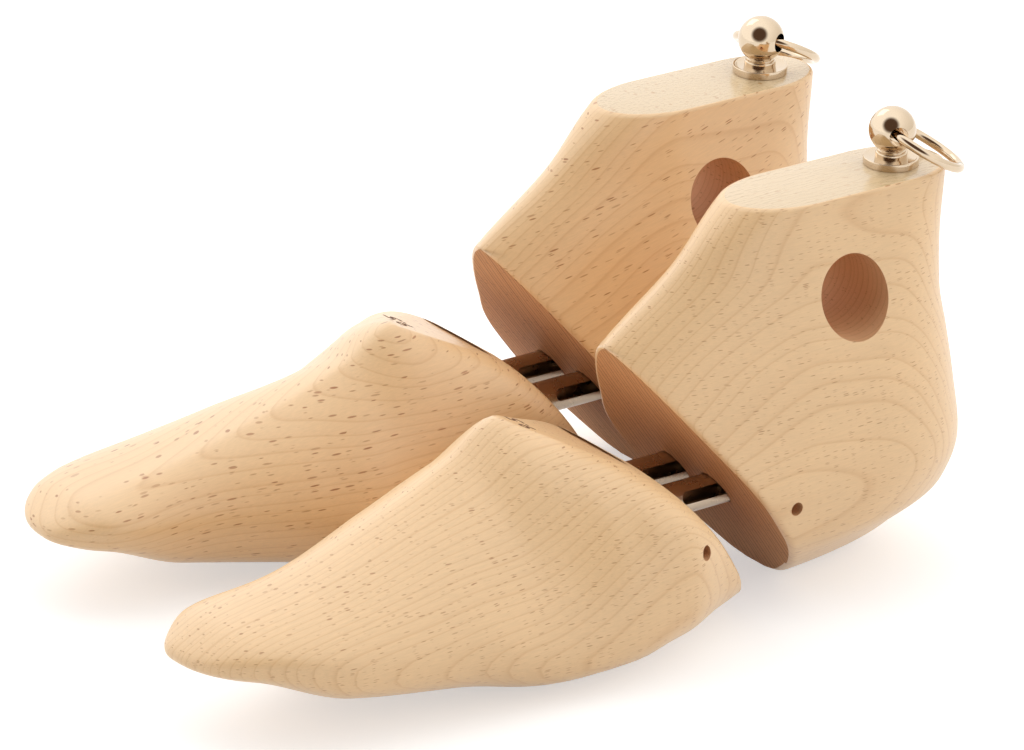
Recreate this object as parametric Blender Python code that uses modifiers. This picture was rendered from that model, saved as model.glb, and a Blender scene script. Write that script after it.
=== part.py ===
# Pair of sprung beech boot trees: a forefoot block on two telescopic tubes that
# slide in a tall heel block, with a turned pull knob and a ring on top.
# Metres, +Z up, toes toward -X.
import math

import bmesh
import bpy
from mathutils import Matrix, Vector

COLLECTION = "boot_tree_pair"
CUTTERS = "boot_tree_cutters"

# Clearances
CLEARANCE = 0.0003
OVERRUN = 0.012

# Heel block, measured from the knob axis
HEEL_HEIGHT = 0.1175
HEEL_BACK = 0.0203
HEEL_HALF_WIDTH = 0.038
NOSE_REACH = 0.0610
NOSE_ROUND = 0.090
TIP_REACH = 0.1045
TIP_HEIGHT = 0.082
FACE_SLOPE = math.radians(54)
FACE_EDGE_ROUND = 0.0026
TOP_EDGE_ROUND = 0.0012
BACK_POWER_SHARE = 2.2

# Height, back, half width and back round, front round, power of the nose curve
HEEL_SHARES = (
    (0.000, -0.90, 0.20, 1.20, 1.00, 1.8),
    (0.010, -0.50, 0.33, 1.60, 1.00, 1.8),
    (0.041, -0.03, 0.50, 2.00, 1.00, 1.8),
    (0.100, 0.32, 0.72, 1.95, 1.00, 1.8),
    (0.207, 0.86, 0.95, 1.50, 1.00, 1.8),
    (0.310, 1.00, 1.000, 1.35, 1.00, 1.8),
    (0.456, 0.915, 0.910, 1.26, 0.98, 1.5),
    (0.581, 0.820, 0.785, 1.15, 0.86, 1.5),
    (0.697, 0.720, 0.640, 0.95, 0.64, 1.5),
    (0.830, 0.755, 0.500, 0.78, 0.46, 1.6),
    (1.000, 0.847, 0.390, 0.58, 0.26, 2.0),
)
HEEL_LEVEL_SHARES = (0.0, 0.010, 0.030, 0.065, 0.115, 0.18, 0.26, 0.35, 0.45, 0.55, 0.62, 0.67)
UPPER_LEVEL_SHARES = (0.0, 0.2, 0.45, 0.72)

# Finger hole through the heel block
FINGER_HOLE_RADIUS = 0.0123
FINGER_HOLE_BACK = 0.0296
FINGER_HOLE_HEIGHT = 0.0888

# Forefoot block, measured from the toe
TOE_REACH = 0.2576
FORE_LENGTH = 0.1886
FORE_HALF_WIDTH = 0.0485
APEX_REACH = 0.1400
APEX_HEIGHT = 0.0674
TOE_CAP_WIDE = 0.028
TOE_CAP_HIGH = 0.013
CAP_POWER_SHARE = 2.2

# Distance from the toe, near side, far side, underside, crest offset
FORE_PLAN_SHARES = (
    (0.000, 0.62, 0.21, 0.31, -0.085),
    (0.080, 0.66, 0.29, 0.275, -0.070),
    (0.215, 0.85, 0.32, 0.135, -0.025),
    (0.424, 0.935, 0.62, 0.047, 0.037),
    (0.542, 0.995, 0.82, 0.000, 0.078),
    (0.624, 1.04, 0.81, 0.000, 0.090),
    (0.700, 1.06, 0.79, 0.000, 0.040),
    (0.786, 1.05, 0.76, 0.000, -0.010),
    (0.900, 0.87, 0.66, 0.015, -0.010),
    (1.000, 0.74, 0.60, 0.035, 0.000),
)
# Distance from the toe, widest height, crown power, sole power
FORE_ROUND_SHARES = (
    (0.000, 0.54, 2.05, 2.5),
    (0.400, 0.42, 1.56, 2.9),
    (0.600, 0.22, 1.36, 3.2),
    (0.700, 0.28, 1.95, 3.1),
    (0.800, 0.44, 3.20, 2.6),
    (1.000, 0.58, 3.80, 2.3),
)
# Distance from the toe, height of the ridge
FORE_RIDGE_SHARES = (
    (0.000, 0.445),
    (0.080, 0.503),
    (0.215, 0.563),
    (0.424, 0.735),
    (0.542, 0.870),
    (0.624, 1.000),
    (0.660, 0.968),
    (0.700, 0.925),
    (0.750, 0.858),
    (0.805, 0.770),
    (0.870, 0.660),
    (1.000, 0.530),
)
STATION_SHARES = (
    0.0, 0.006, 0.022, 0.044, 0.076, 0.12, 0.174, 0.24, 0.31, 0.38, 0.45, 0.53, 0.58,
    0.624, 0.66, 0.70, 0.745, 0.78,
)
LEAN_START_SHARE = 0.11
LEAN_POWER_SHARE = 1.5

# Spring-loaded tubes
TUBE_HEIGHT = 0.0332
TUBE_HALF_SPACING = 0.0097
TUBE_RADIUS = 0.005
TUBE_WALL = 0.0008
TUBE_LIP_RADIUS = 0.0022
TUBE_TAIL = 0.0115
TUBE_GRIP = 0.0225
FACE_GAP = 0.0228
TRAVEL = 0.022
SPRING_WIRE = 0.0012
SPRING_LENGTH = 0.0440
SPRING_TURNS = 9
SPRING_TURN_POINTS = 8
SPRING_FLAT_SHARE = 0.35

# Cross pins
PIN_RADIUS = 0.0015
PIN_RECESS_RADIUS = 0.0021
HEEL_PIN_SETBACK = 0.0078
HEEL_PIN_HALF = 0.0310
FORE_PIN_SETBACK = 0.0106
FORE_PIN_HALF = 0.0300
PIN_RISE = 0.0016
PIN_END_ROUND = 0.0003

# Knob, its washer and collar, and the threaded insert under them
WASHER_RADIUS = 0.00835
WASHER_THICKNESS = 0.0020
COLLAR_RADIUS = 0.00435
COLLAR_HEIGHT = 0.0012
NECK_RADIUS = 0.0043
NECK_HEIGHT = 0.0008
BALL_RADIUS = 0.00705
RIM_ROUND = 0.0004
SHANK_RADIUS = 0.0024
SHANK_LENGTH = 0.0150
INSERT_RADIUS = 0.0042
INSERT_LENGTH = 0.0150
INSERT_SLOT = 0.0012

# Pull ring through the ball
RING_RADIUS = 0.0125
RING_WIRE = 0.0014
RING_OFFSET = 0.0114
RING_DROOP = math.radians(30.0)
KNOB_TURN = math.radians(-22.0)
RING_JOINT_TURN = math.radians(-24.0)
RING_JOINT_GAP = 0.00035
EYE_RADIUS = 0.0029

# Where the second tree stands beside the first
SECOND_BACK = 0.0155
SECOND_ASIDE = 0.0816

# Facet counts
SIDE_COLUMNS = 13
FACE_COLUMNS = 4
FORE_COLUMNS = 11
FACET_COLUMNS = 3
ROUND_STEPS = 20
BORE_STEPS = 16
HOLE_STEPS = 32
PIN_STEPS = 12

COLOURS = {
    "beech": ((0.66, 0.40, 0.20, 1.0), 0.38, 0.0),
    "polished_nickel": ((0.78, 0.72, 0.64, 1.0), 0.16, 1.0),
    "tube_steel": ((0.62, 0.63, 0.64, 1.0), 0.24, 1.0),
    "spring_steel": ((0.40, 0.41, 0.43, 1.0), 0.35, 1.0),
    "brass": ((0.70, 0.50, 0.22, 1.0), 0.34, 1.0),
}


def smooth_table(table, at):
    # Monotone cubic through the rows of a table whose first column rises
    if at <= table[0][0]:
        return list(table[0][1:])
    if at >= table[-1][0]:
        return list(table[-1][1:])
    row = max(i for i in range(len(table) - 1) if table[i][0] <= at)
    low, high = table[row], table[row + 1]
    span = high[0] - low[0]
    t = (at - low[0]) / span
    values = []
    for column in range(1, len(low)):
        slope_low = table_slope(table, row, column)
        slope_high = table_slope(table, row + 1, column)
        values.append(
            (2 * t**3 - 3 * t**2 + 1) * low[column]
            + (t**3 - 2 * t**2 + t) * span * slope_low
            + (3 * t**2 - 2 * t**3) * high[column]
            + (t**3 - t**2) * span * slope_high
        )
    return values


def table_slope(table, row, column):
    if row in (0, len(table) - 1):
        return 0.0
    before = (table[row][column] - table[row - 1][column]) / (table[row][0] - table[row - 1][0])
    after = (table[row + 1][column] - table[row][column]) / (table[row + 1][0] - table[row][0])
    if before * after <= 0:
        return 0.0
    return 2 * before * after / (before + after)


def superellipse(share, power):
    # Half width at a share of the way in from the end of a rounded outline
    inward = min(max(1 - share, 0.0), 1.0)
    return (1 - inward**power) ** (1 / power)


def resample(points, count, ends=0.45):
    # Points at even arc length, drawn in a little toward both ends
    lengths = [0.0]
    for a, b in zip(points, points[1:]):
        lengths.append(lengths[-1] + (b - a).length)
    if lengths[-1] < CLEARANCE * 0.1:
        return [points[0].copy() for _ in range(count + 1)]
    placed = []
    segment = 0
    for step in range(count + 1):
        share = step / count
        share -= ends * math.sin(2 * math.pi * share) / (2 * math.pi)
        target = share * lengths[-1]
        while segment < len(points) - 2 and lengths[segment + 1] < target:
            segment += 1
        run = lengths[segment + 1] - lengths[segment]
        blend = (target - lengths[segment]) / run if run > 0 else 0.0
        placed.append(points[segment].lerp(points[segment + 1], min(max(blend, 0.0), 1.0)))
    return placed


def material(name):
    found = bpy.data.materials.get(name)
    if found:
        return found
    colour, roughness, metallic = COLOURS[name]
    made = bpy.data.materials.new(name)
    made.use_nodes = True
    shader = made.node_tree.nodes["Principled BSDF"]
    shader.inputs["Base Color"].default_value = colour
    shader.inputs["Roughness"].default_value = roughness
    shader.inputs["Metallic"].default_value = metallic
    made.diffuse_color = colour
    return made


def new_object(name, data, group, slot=None):
    made = bpy.data.objects.new(name, data)
    bpy.data.collections[group].objects.link(made)
    if slot:
        data.materials.append(material(slot))
    if group == CUTTERS:
        made.hide_render = True
        made.display_type = "WIRE"
    return made


def mesh_from(name, build):
    mesh = bpy.data.meshes.new(name)
    bm = bmesh.new()
    build(bm)
    bm.to_mesh(mesh)
    bm.free()
    return mesh


def shade_round(obj, angle=math.radians(35)):
    obj.data.shade_smooth()
    obj.data.set_sharp_from_angle(angle=angle)


def lofted(name, rings, slot):
    # Skin over rings with matching columns, its ends closed by flat caps
    def build(bm):
        rows = [[bm.verts.new(point) for point in ring] for ring in rings]
        for low, high in zip(rows, rows[1:]):
            for i in range(len(low)):
                j = (i + 1) % len(low)
                bm.faces.new((low[i], low[j], high[j], high[i]))
        bm.faces.new(list(reversed(rows[0])))
        bm.faces.new(rows[-1])
        bmesh.ops.remove_doubles(bm, verts=bm.verts, dist=CLEARANCE * 0.1)
        bmesh.ops.dissolve_degenerate(bm, edges=bm.edges, dist=CLEARANCE * 0.01)
        bmesh.ops.recalc_face_normals(bm, faces=bm.faces)

    made = new_object(name, mesh_from(name, build), COLLECTION, slot)
    shade_round(made)
    return made


def turned(name, profile, steps, group=COLLECTION, slot=None, closed=False):
    # Profile of (radius, height) pairs, run down its outer side, turned about Z
    mesh = bpy.data.meshes.new(name)
    points = [(radius, 0.0, height) for radius, height in profile]
    edges = [(i, i + 1) for i in range(len(points) - 1)]
    if closed:
        edges.append((len(points) - 1, 0))
    mesh.from_pydata(points, edges, [])
    made = new_object(name, mesh, group, slot)
    screw = made.modifiers.new("turn", "SCREW")
    screw.axis = "Z"
    screw.angle = 2 * math.pi
    screw.steps = steps
    screw.render_steps = steps
    screw.use_merge_vertices = True
    screw.merge_threshold = 0.00001
    screw.use_smooth_shade = True
    return made


def cut(obj, cutter):
    boolean = obj.modifiers.new("cut_" + cutter.name, "BOOLEAN")
    boolean.operation = "DIFFERENCE"
    boolean.solver = "EXACT"
    boolean.object = cutter


def along_x(x, y, z):
    return Matrix.Translation((x, y, z)) @ Matrix.Rotation(math.radians(90), 4, "Y")


def along_y(x, y, z):
    return Matrix.Translation((x, y, z)) @ Matrix.Rotation(math.radians(-90), 4, "X")


def face_x(height):
    # The heel block's sloping front plane
    return -TIP_REACH + (TIP_HEIGHT - height) / math.tan(FACE_SLOPE)


def rear_x(height):
    # The forefoot block's rear plane, parallel to it
    return face_x(height) - FACE_GAP


def heel_section(height, inset):
    # Horizontal section of the heel block as points from its back to its front corner
    back, half, back_round, front_round, power = smooth_table(HEEL_SHARES, height / HEEL_HEIGHT)
    back_x = back * HEEL_BACK - inset
    half = half * HEEL_HALF_WIDTH - inset
    back_length = back_round * HEEL_HALF_WIDTH
    lean = (TIP_REACH - NOSE_REACH) / (HEEL_HEIGHT - TIP_HEIGHT)
    nose_x = -TIP_REACH - (TIP_HEIGHT - height) * lean + inset
    nose_length = front_round * NOSE_ROUND
    end_x = max(nose_x, face_x(height)) if height < TIP_HEIGHT else nose_x
    count = 90
    points = []
    for i in range(count + 1):
        x = back_x - (back_x - end_x) * (1 - math.cos(math.pi * i / count)) / 2
        behind = superellipse((back_x - x) / back_length, BACK_POWER_SHARE)
        ahead = superellipse((x - nose_x) / nose_length, power)
        points.append(Vector((x, half * behind * ahead, height)))
    return points


def heel_ring(height, inset=0.0, columns=SIDE_COLUMNS, across=FACE_COLUMNS):
    side = heel_section(height, inset)
    corner = side[-1].copy()
    reach = min(FACE_EDGE_ROUND, corner.y * 0.6)
    while len(side) > 2 and (side[-1] - corner).length < reach:
        side.pop()
    start = corner + (side[-1] - corner).normalized() * reach if reach > 0 else corner
    side = resample(side + [start], columns)
    finish = corner - Vector((0, reach, 0))
    middle = (start + finish + 2 * corner) / 4
    half = side + [middle, finish]
    face = [finish.lerp(Vector((finish.x, -finish.y, height)), i / across) for i in range(1, across)]
    other = [Vector((p.x, -p.y, p.z)) for p in reversed(half)]
    return half + face + other[:-1]


def heel_rings():
    levels = [(share * HEEL_HEIGHT, 0.0) for share in HEEL_LEVEL_SHARES]
    for share in UPPER_LEVEL_SHARES:
        levels.append((TIP_HEIGHT + share * (HEEL_HEIGHT - TIP_HEIGHT), 0.0))
    levels.append((HEEL_HEIGHT - TOP_EDGE_ROUND, 0.0))
    levels.append((HEEL_HEIGHT - TOP_EDGE_ROUND * 0.3, TOP_EDGE_ROUND * 0.3))
    levels.append((HEEL_HEIGHT, TOP_EDGE_ROUND))
    return [heel_ring(height, inset) for height, inset in levels]


def fore_section(x):
    # Vertical section of the forefoot block at x
    along = min(max(x + TOE_REACH, 0.0), FORE_LENGTH)
    share = along / FORE_LENGTH
    near, far, sole, crest = smooth_table(FORE_PLAN_SHARES, share)
    widest, crown, round_sole = smooth_table(FORE_ROUND_SHARES, share)
    ridge = smooth_table(FORE_RIDGE_SHARES, share)[0]
    wide = superellipse(along / TOE_CAP_WIDE, CAP_POWER_SHARE)
    high = superellipse(along / TOE_CAP_HIGH, CAP_POWER_SHARE)
    middle = crest * FORE_HALF_WIDTH
    near = middle + (-near * FORE_HALF_WIDTH - middle) * wide
    far = middle + (far * FORE_HALF_WIDTH - middle) * wide
    tip = APEX_HEIGHT * (FORE_RIDGE_SHARES[0][1] + FORE_PLAN_SHARES[0][3]) / 2
    top = tip + (ridge * APEX_HEIGHT - tip) * high
    bottom = tip + (sole * APEX_HEIGHT - tip) * high
    return near, far, middle, top, bottom, bottom + widest * (top - bottom), crown, round_sole


def facet_height(x):
    rear_top = ridge_point(REAR_RIDGE_SHARE)
    slope = (APEX_HEIGHT - rear_top[1]) / (rear_top[0] + APEX_REACH)
    return APEX_HEIGHT - (x + APEX_REACH) * slope


def ridge_point(share):
    x = -TOE_REACH + share * FORE_LENGTH
    return x, smooth_table(FORE_RIDGE_SHARES, share)[0] * APEX_HEIGHT


def rear_ridge_share():
    # Where the ridge meets the rear plane
    low, high = 0.0, 1.0
    for _ in range(40):
        middle = (low + high) / 2
        x, z = ridge_point(middle)
        if x < rear_x(z):
            low = middle
        else:
            high = middle
    return (low + high) / 2


REAR_RIDGE_SHARE = rear_ridge_share()


def fore_station(share):
    # A cutting plane that leans back more and more until it is the rear plane
    lean = max(0.0, (share - LEAN_START_SHARE) / (REAR_RIDGE_SHARE - LEAN_START_SHARE))
    return share, lean**LEAN_POWER_SHARE / math.tan(FACE_SLOPE)


def station_side(share, lean, shift, side, count=60):
    # Points where one side of the block meets a leaning plane, from crown to sole
    top_x, top_z = ridge_point(share)
    top_x += shift
    crease = None
    if top_z > facet_height(top_x):
        crease = crease_height(top_x, top_z, lean)
    points = []
    start = math.pi / 2
    if crease is not None:
        x = top_x + (top_z - crease) * lean
        _, _, _, top, _, waist, crown, _ = fore_section(x)
        rise = min(max((crease - waist) / (top - waist), 0.0), 1.0)
        start = math.asin(min(rise ** (crown / 2), 1.0))
    for i in range(count + 1):
        angle = start - (start + math.pi / 2) * i / count
        x = top_x
        for _ in range(12):
            near, far, middle, top, bottom, waist, crown, round_sole = fore_section(x)
            if angle >= 0:
                height = waist + (top - waist) * max(math.sin(angle), 0.0) ** (2 / crown)
            else:
                height = waist - (waist - bottom) * abs(math.sin(angle)) ** (2 / round_sole)
            x = top_x + (top_z - height) * lean
        power = crown if angle >= 0 else round_sole
        wide = max(math.cos(angle), 0.0) ** (2 / power)
        edge = far if side > 0 else near
        points.append(Vector((x, middle + (edge - middle) * wide, height)))
    return points


def crease_height(top_x, top_z, lean):
    # Height where a leaning plane meets the planed facet
    rise = facet_height(0.0)
    slope = facet_height(0.0) - facet_height(1.0)
    return (rise - slope * (top_x + top_z * lean)) / (1 - slope * lean)


def fore_ring(share, shift=0.0, inset=0.0, columns=FORE_COLUMNS, across=FACET_COLUMNS):
    share, lean = fore_station(share)
    far = resample(station_side(share, lean, shift, 1), columns, 0.2)
    near = resample(station_side(share, lean, shift, -1), columns, 0.2)
    facet = [near[0].lerp(far[0], i / across) for i in range(1, across)]
    ring = far + list(reversed(near))[1:] + facet
    if inset > 0:
        centre = sum(ring, Vector()) / len(ring)
        reach = max((point - centre).length for point in ring)
        ring = [centre.lerp(point, 1 - inset / max((point - centre).length, reach * 0.2)) for point in ring]
    return ring


def fore_rings():
    rings = [fore_ring(share) for share in STATION_SHARES]
    across = FACE_EDGE_ROUND / math.sin(FACE_SLOPE)
    rings.append(fore_ring(REAR_RIDGE_SHARE, -across))
    rings.append(fore_ring(REAR_RIDGE_SHARE, -across * 0.3, FACE_EDGE_ROUND * 0.3))
    rings.append(fore_ring(REAR_RIDGE_SHARE, 0.0, FACE_EDGE_ROUND))
    return rings


def capsule(name, radius, length, depth, steps):
    # Slot cutter: a cylinder along Y whose -X half is drawn out by the slot's length
    def build(bm):
        bmesh.ops.create_cone(bm, cap_ends=True, segments=steps, radius1=radius, radius2=radius, depth=depth)
        bmesh.ops.rotate(bm, verts=bm.verts, matrix=Matrix.Rotation(math.radians(90), 3, "X"))
        toe_half = [v for v in bm.verts if v.co.x < -radius * 0.01]
        bmesh.ops.translate(bm, verts=toe_half, vec=(-length, 0, 0))

    return new_object(name, mesh_from(name, build), CUTTERS)


def drill(name, radius, length, steps, pose):
    # Round cutter from its seat outward along the pose's Z
    made = turned(name, ((0, length), (radius, length), (radius, 0), (0, 0)), steps, CUTTERS)
    made.matrix_world = pose
    return made


def pin_drill(name, half, x):
    # Stepped cutter for a cross pin sunk below both sides of its block
    bore = PIN_RADIUS + CLEARANCE
    end = half + CLEARANCE
    out = FORE_HALF_WIDTH + OVERRUN
    profile = (
        (0, out), (PIN_RECESS_RADIUS, out), (PIN_RECESS_RADIUS, end), (bore, end),
        (bore, -end), (PIN_RECESS_RADIUS, -end), (PIN_RECESS_RADIUS, -out), (0, -out),
    )
    made = turned(name, profile, PIN_STEPS, CUTTERS)
    made.matrix_world = along_y(x, 0.0, PIN_HEIGHT)
    return made


PIN_HEIGHT = TUBE_HEIGHT + PIN_RISE
HEEL_PIN_X = face_x(TUBE_HEIGHT) + HEEL_PIN_SETBACK
FORE_PIN_X = rear_x(TUBE_HEIGHT) - FORE_PIN_SETBACK
TUBE_TAIL_X = HEEL_PIN_X + TUBE_TAIL
TUBE_HEAD_X = FORE_PIN_X - TUBE_GRIP
BORE_FLOOR_X = TUBE_TAIL_X + SPRING_LENGTH + CLEARANCE * 2
BORE_RADIUS = TUBE_RADIUS + CLEARANCE
COLLAR_BASE = WASHER_THICKNESS + CLEARANCE * 2
NECK_BASE = COLLAR_BASE + COLLAR_HEIGHT + CLEARANCE
BALL_DROP = math.sqrt(BALL_RADIUS**2 - NECK_RADIUS**2)
BALL_HEIGHT = NECK_BASE + NECK_HEIGHT + BALL_DROP


def heel_block(side):
    block = lofted(side + "_heel_block", heel_rings(), "beech")
    hole = drill(side + "_finger_cut", FINGER_HOLE_RADIUS, HEEL_HALF_WIDTH * 3, HOLE_STEPS,
                 along_y(-FINGER_HOLE_BACK, -HEEL_HALF_WIDTH * 1.5, FINGER_HOLE_HEIGHT))
    cut(block, hole)
    for place, label in ((-1, "medial"), (1, "lateral")):
        length = BORE_FLOOR_X - face_x(TUBE_HEIGHT) + OVERRUN
        pose = along_x(BORE_FLOOR_X - length, place * TUBE_HALF_SPACING, TUBE_HEIGHT)
        cut(block, drill(side + "_heel_bore_" + label, BORE_RADIUS, length, BORE_STEPS, pose))
    depth = INSERT_LENGTH + CLEARANCE
    pose = Matrix.Translation((0, 0, HEEL_HEIGHT - depth))
    cut(block, drill(side + "_insert_cut", INSERT_RADIUS + CLEARANCE, depth + OVERRUN, BORE_STEPS, pose))
    cut(block, pin_drill(side + "_heel_pin_cut", HEEL_PIN_HALF, HEEL_PIN_X))
    return [block]


def forefoot_block(side):
    block = lofted(side + "_forefoot_block", fore_rings(), "beech")
    floor_x = TUBE_HEAD_X - CLEARANCE
    length = rear_x(TUBE_HEIGHT) - floor_x + OVERRUN
    for place, label in ((-1, "medial"), (1, "lateral")):
        pose = along_x(floor_x, place * TUBE_HALF_SPACING, TUBE_HEIGHT)
        cut(block, drill(side + "_fore_bore_" + label, BORE_RADIUS, length, BORE_STEPS, pose))
    cut(block, pin_drill(side + "_fore_pin_cut", FORE_PIN_HALF, FORE_PIN_X))
    return [block]


def cross_pin(name, half, x):
    profile = (
        (0, half), (PIN_RADIUS - PIN_END_ROUND, half), (PIN_RADIUS, half - PIN_END_ROUND),
        (PIN_RADIUS, PIN_END_ROUND - half), (PIN_RADIUS - PIN_END_ROUND, -half), (0, -half),
    )
    pin = turned(name, profile, PIN_STEPS, slot="tube_steel")
    pin.matrix_world = along_y(x, 0.0, PIN_HEIGHT)
    return pin


def tube(side, label, place):
    # Open at its head, rolled in to a lip at its tail where the spring bears
    length = TUBE_TAIL_X - TUBE_HEAD_X
    inner = TUBE_RADIUS - TUBE_WALL
    profile = (
        (TUBE_LIP_RADIUS, length), (TUBE_RADIUS - TUBE_WALL, length), (TUBE_RADIUS, length - TUBE_WALL),
        (TUBE_RADIUS, 0), (inner, 0), (inner, length - TUBE_WALL), (TUBE_LIP_RADIUS, length - TUBE_WALL),
    )
    made = turned(side + "_" + label + "_tube", profile, BORE_STEPS, slot="tube_steel", closed=True)
    y = place * TUBE_HALF_SPACING
    made.matrix_world = along_x(TUBE_HEAD_X, y, TUBE_HEIGHT)
    slot = capsule(side + "_" + label + "_slot", PIN_RADIUS + CLEARANCE, TRAVEL, TUBE_RADIUS * 3, PIN_STEPS)
    slot.matrix_world = Matrix.Translation((HEEL_PIN_X, y, PIN_HEIGHT))
    cut(made, slot)
    hole = drill(side + "_" + label + "_tube_pin_cut", PIN_RADIUS + CLEARANCE, TUBE_RADIUS * 3, PIN_STEPS,
                 along_y(FORE_PIN_X, y - TUBE_RADIUS * 1.5, PIN_HEIGHT))
    cut(made, hole)
    return made


def coil_points(length, radius, turns, per_turn):
    # Coil along X whose first and last turns lie closer, as ground spring ends do
    points = []
    steps = turns * per_turn
    for i in range(steps + 1):
        share = i / steps
        along = share - SPRING_FLAT_SHARE * math.sin(2 * math.pi * share) / (2 * math.pi)
        angle = 2 * math.pi * i / per_turn
        points.append(Vector((along * length, radius * math.cos(angle), radius * math.sin(angle))))
    return points


def wire_object(name, points, radius, slot, resolution):
    curve = bpy.data.curves.new(name, "CURVE")
    curve.dimensions = "3D"
    curve.bevel_depth = radius
    curve.bevel_resolution = resolution
    curve.use_fill_caps = True
    spline = curve.splines.new("POLY")
    spline.points.add(len(points) - 1)
    for slot_point, point in zip(spline.points, points):
        slot_point.co = (point.x, point.y, point.z, 1.0)
    return new_object(name, curve, COLLECTION, slot)


def spring(side, label, place):
    wire = SPRING_WIRE / 2
    radius = TUBE_RADIUS - wire - CLEARANCE
    length = SPRING_LENGTH - SPRING_WIRE
    points = coil_points(length, radius, SPRING_TURNS, SPRING_TURN_POINTS)
    made = wire_object(side + "_" + label + "_spring", points, wire, "spring_steel", 1)
    x = TUBE_TAIL_X + CLEARANCE + wire
    made.matrix_world = Matrix.Translation((x, place * TUBE_HALF_SPACING, TUBE_HEIGHT))
    return made, points


def least_turn_gap(points):
    gaps = []
    skip = SPRING_TURN_POINTS // 2
    for i, a in enumerate(points):
        for b in points[i + skip:]:
            gaps.append((b - a).length - SPRING_WIRE)
    return min(gaps)


def knob(side):
    washer_base = HEEL_HEIGHT + CLEARANCE
    bore = SHANK_RADIUS + CLEARANCE
    washer = turned(side + "_knob_washer", (
        (bore, WASHER_THICKNESS), (WASHER_RADIUS - RIM_ROUND, WASHER_THICKNESS),
        (WASHER_RADIUS, WASHER_THICKNESS - RIM_ROUND), (WASHER_RADIUS, 0), (bore, 0),
    ), ROUND_STEPS * 3 // 2, slot="polished_nickel", closed=True)
    washer.matrix_world = Matrix.Translation((0, 0, washer_base))
    collar = turned(side + "_knob_collar", (
        (bore, COLLAR_HEIGHT), (COLLAR_RADIUS - RIM_ROUND, COLLAR_HEIGHT),
        (COLLAR_RADIUS, COLLAR_HEIGHT - RIM_ROUND), (COLLAR_RADIUS, 0), (bore, 0),
    ), ROUND_STEPS, slot="polished_nickel", closed=True)
    collar.matrix_world = Matrix.Translation((0, 0, HEEL_HEIGHT + COLLAR_BASE))
    return [washer, collar, knob_stem(side)]


def knob_stem(side):
    # Ball, neck and shank turned in one piece and drilled across for the ring
    base = NECK_BASE - SHANK_LENGTH
    profile = []
    stop = math.asin(NECK_RADIUS / BALL_RADIUS)
    arcs = 9
    for i in range(arcs + 1):
        angle = (math.pi - stop) * i / arcs
        height = BALL_HEIGHT + BALL_RADIUS * math.cos(angle)
        profile.append((BALL_RADIUS * math.sin(angle), height))
    profile += [
        (NECK_RADIUS, NECK_BASE), (SHANK_RADIUS, NECK_BASE),
        (SHANK_RADIUS, base + RIM_ROUND), (SHANK_RADIUS - RIM_ROUND, base), (0, base),
    ]
    stem = turned(side + "_knob_stem", profile, ROUND_STEPS, slot="polished_nickel")
    turn = Matrix.Rotation(KNOB_TURN, 4, "Z")
    stem.matrix_world = Matrix.Translation((0, 0, HEEL_HEIGHT)) @ turn
    eye = drill(side + "_eye_cut", EYE_RADIUS, BALL_RADIUS * 3, BORE_STEPS,
                turn @ along_y(0, -BALL_RADIUS * 1.5, HEEL_HEIGHT + BALL_HEIGHT))
    cut(stem, eye)
    return stem


def threaded_insert(side):
    bore = SHANK_RADIUS + CLEARANCE
    insert = turned(side + "_threaded_insert", (
        (bore, 0), (INSERT_RADIUS, 0), (INSERT_RADIUS, RIM_ROUND - INSERT_LENGTH),
        (INSERT_RADIUS - RIM_ROUND, -INSERT_LENGTH), (bore, -INSERT_LENGTH),
    ), ROUND_STEPS, slot="brass", closed=True)
    insert.matrix_world = Matrix.Translation((0, 0, HEEL_HEIGHT))

    def build(bm):
        bmesh.ops.create_cube(bm, size=1.0)
        bmesh.ops.scale(bm, vec=(INSERT_RADIUS * 3, INSERT_SLOT, INSERT_SLOT * 2), verts=bm.verts)

    driver = new_object(side + "_insert_slot", mesh_from(side + "_insert_slot", build), CUTTERS)
    driver.matrix_world = Matrix.Translation((0, 0, HEEL_HEIGHT))
    cut(insert, driver)
    return [insert]


def pull_ring(side):
    # A loop of round wire, its ends butted on the outer side, hung in the ball's eye
    open_angle = (RING_JOINT_GAP / 2) / RING_RADIUS
    steps = 30
    points = []
    for i in range(steps + 1):
        angle = RING_JOINT_TURN + open_angle + (2 * math.pi - 2 * open_angle) * i / steps
        points.append(Vector((RING_OFFSET + RING_RADIUS * math.cos(angle), RING_RADIUS * math.sin(angle), 0)))
    ring = wire_object(side + "_pull_ring", points, RING_WIRE, "polished_nickel", 2)
    hinge = Matrix.Translation((0, 0, HEEL_HEIGHT + BALL_HEIGHT)) @ Matrix.Rotation(KNOB_TURN, 4, "Z")
    ring.matrix_world = hinge @ Matrix.Rotation(RING_DROOP, 4, "Y")
    return [ring]


def mirror_mesh(obj):
    # The second tree is the mirror image of the first
    flip = Matrix.Scale(-1, 4, (0, 1, 0))
    if obj.type == "CURVE":
        for spline in obj.data.splines:
            for point in spline.points:
                point.co.y = -point.co.y
        turn = obj.matrix_world.copy()
        obj.matrix_world = flip @ turn @ flip
        return
    obj.data.transform(flip)
    if obj.data.polygons:
        obj.data.flip_normals()
    obj.matrix_world = flip @ obj.matrix_world @ flip


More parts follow.
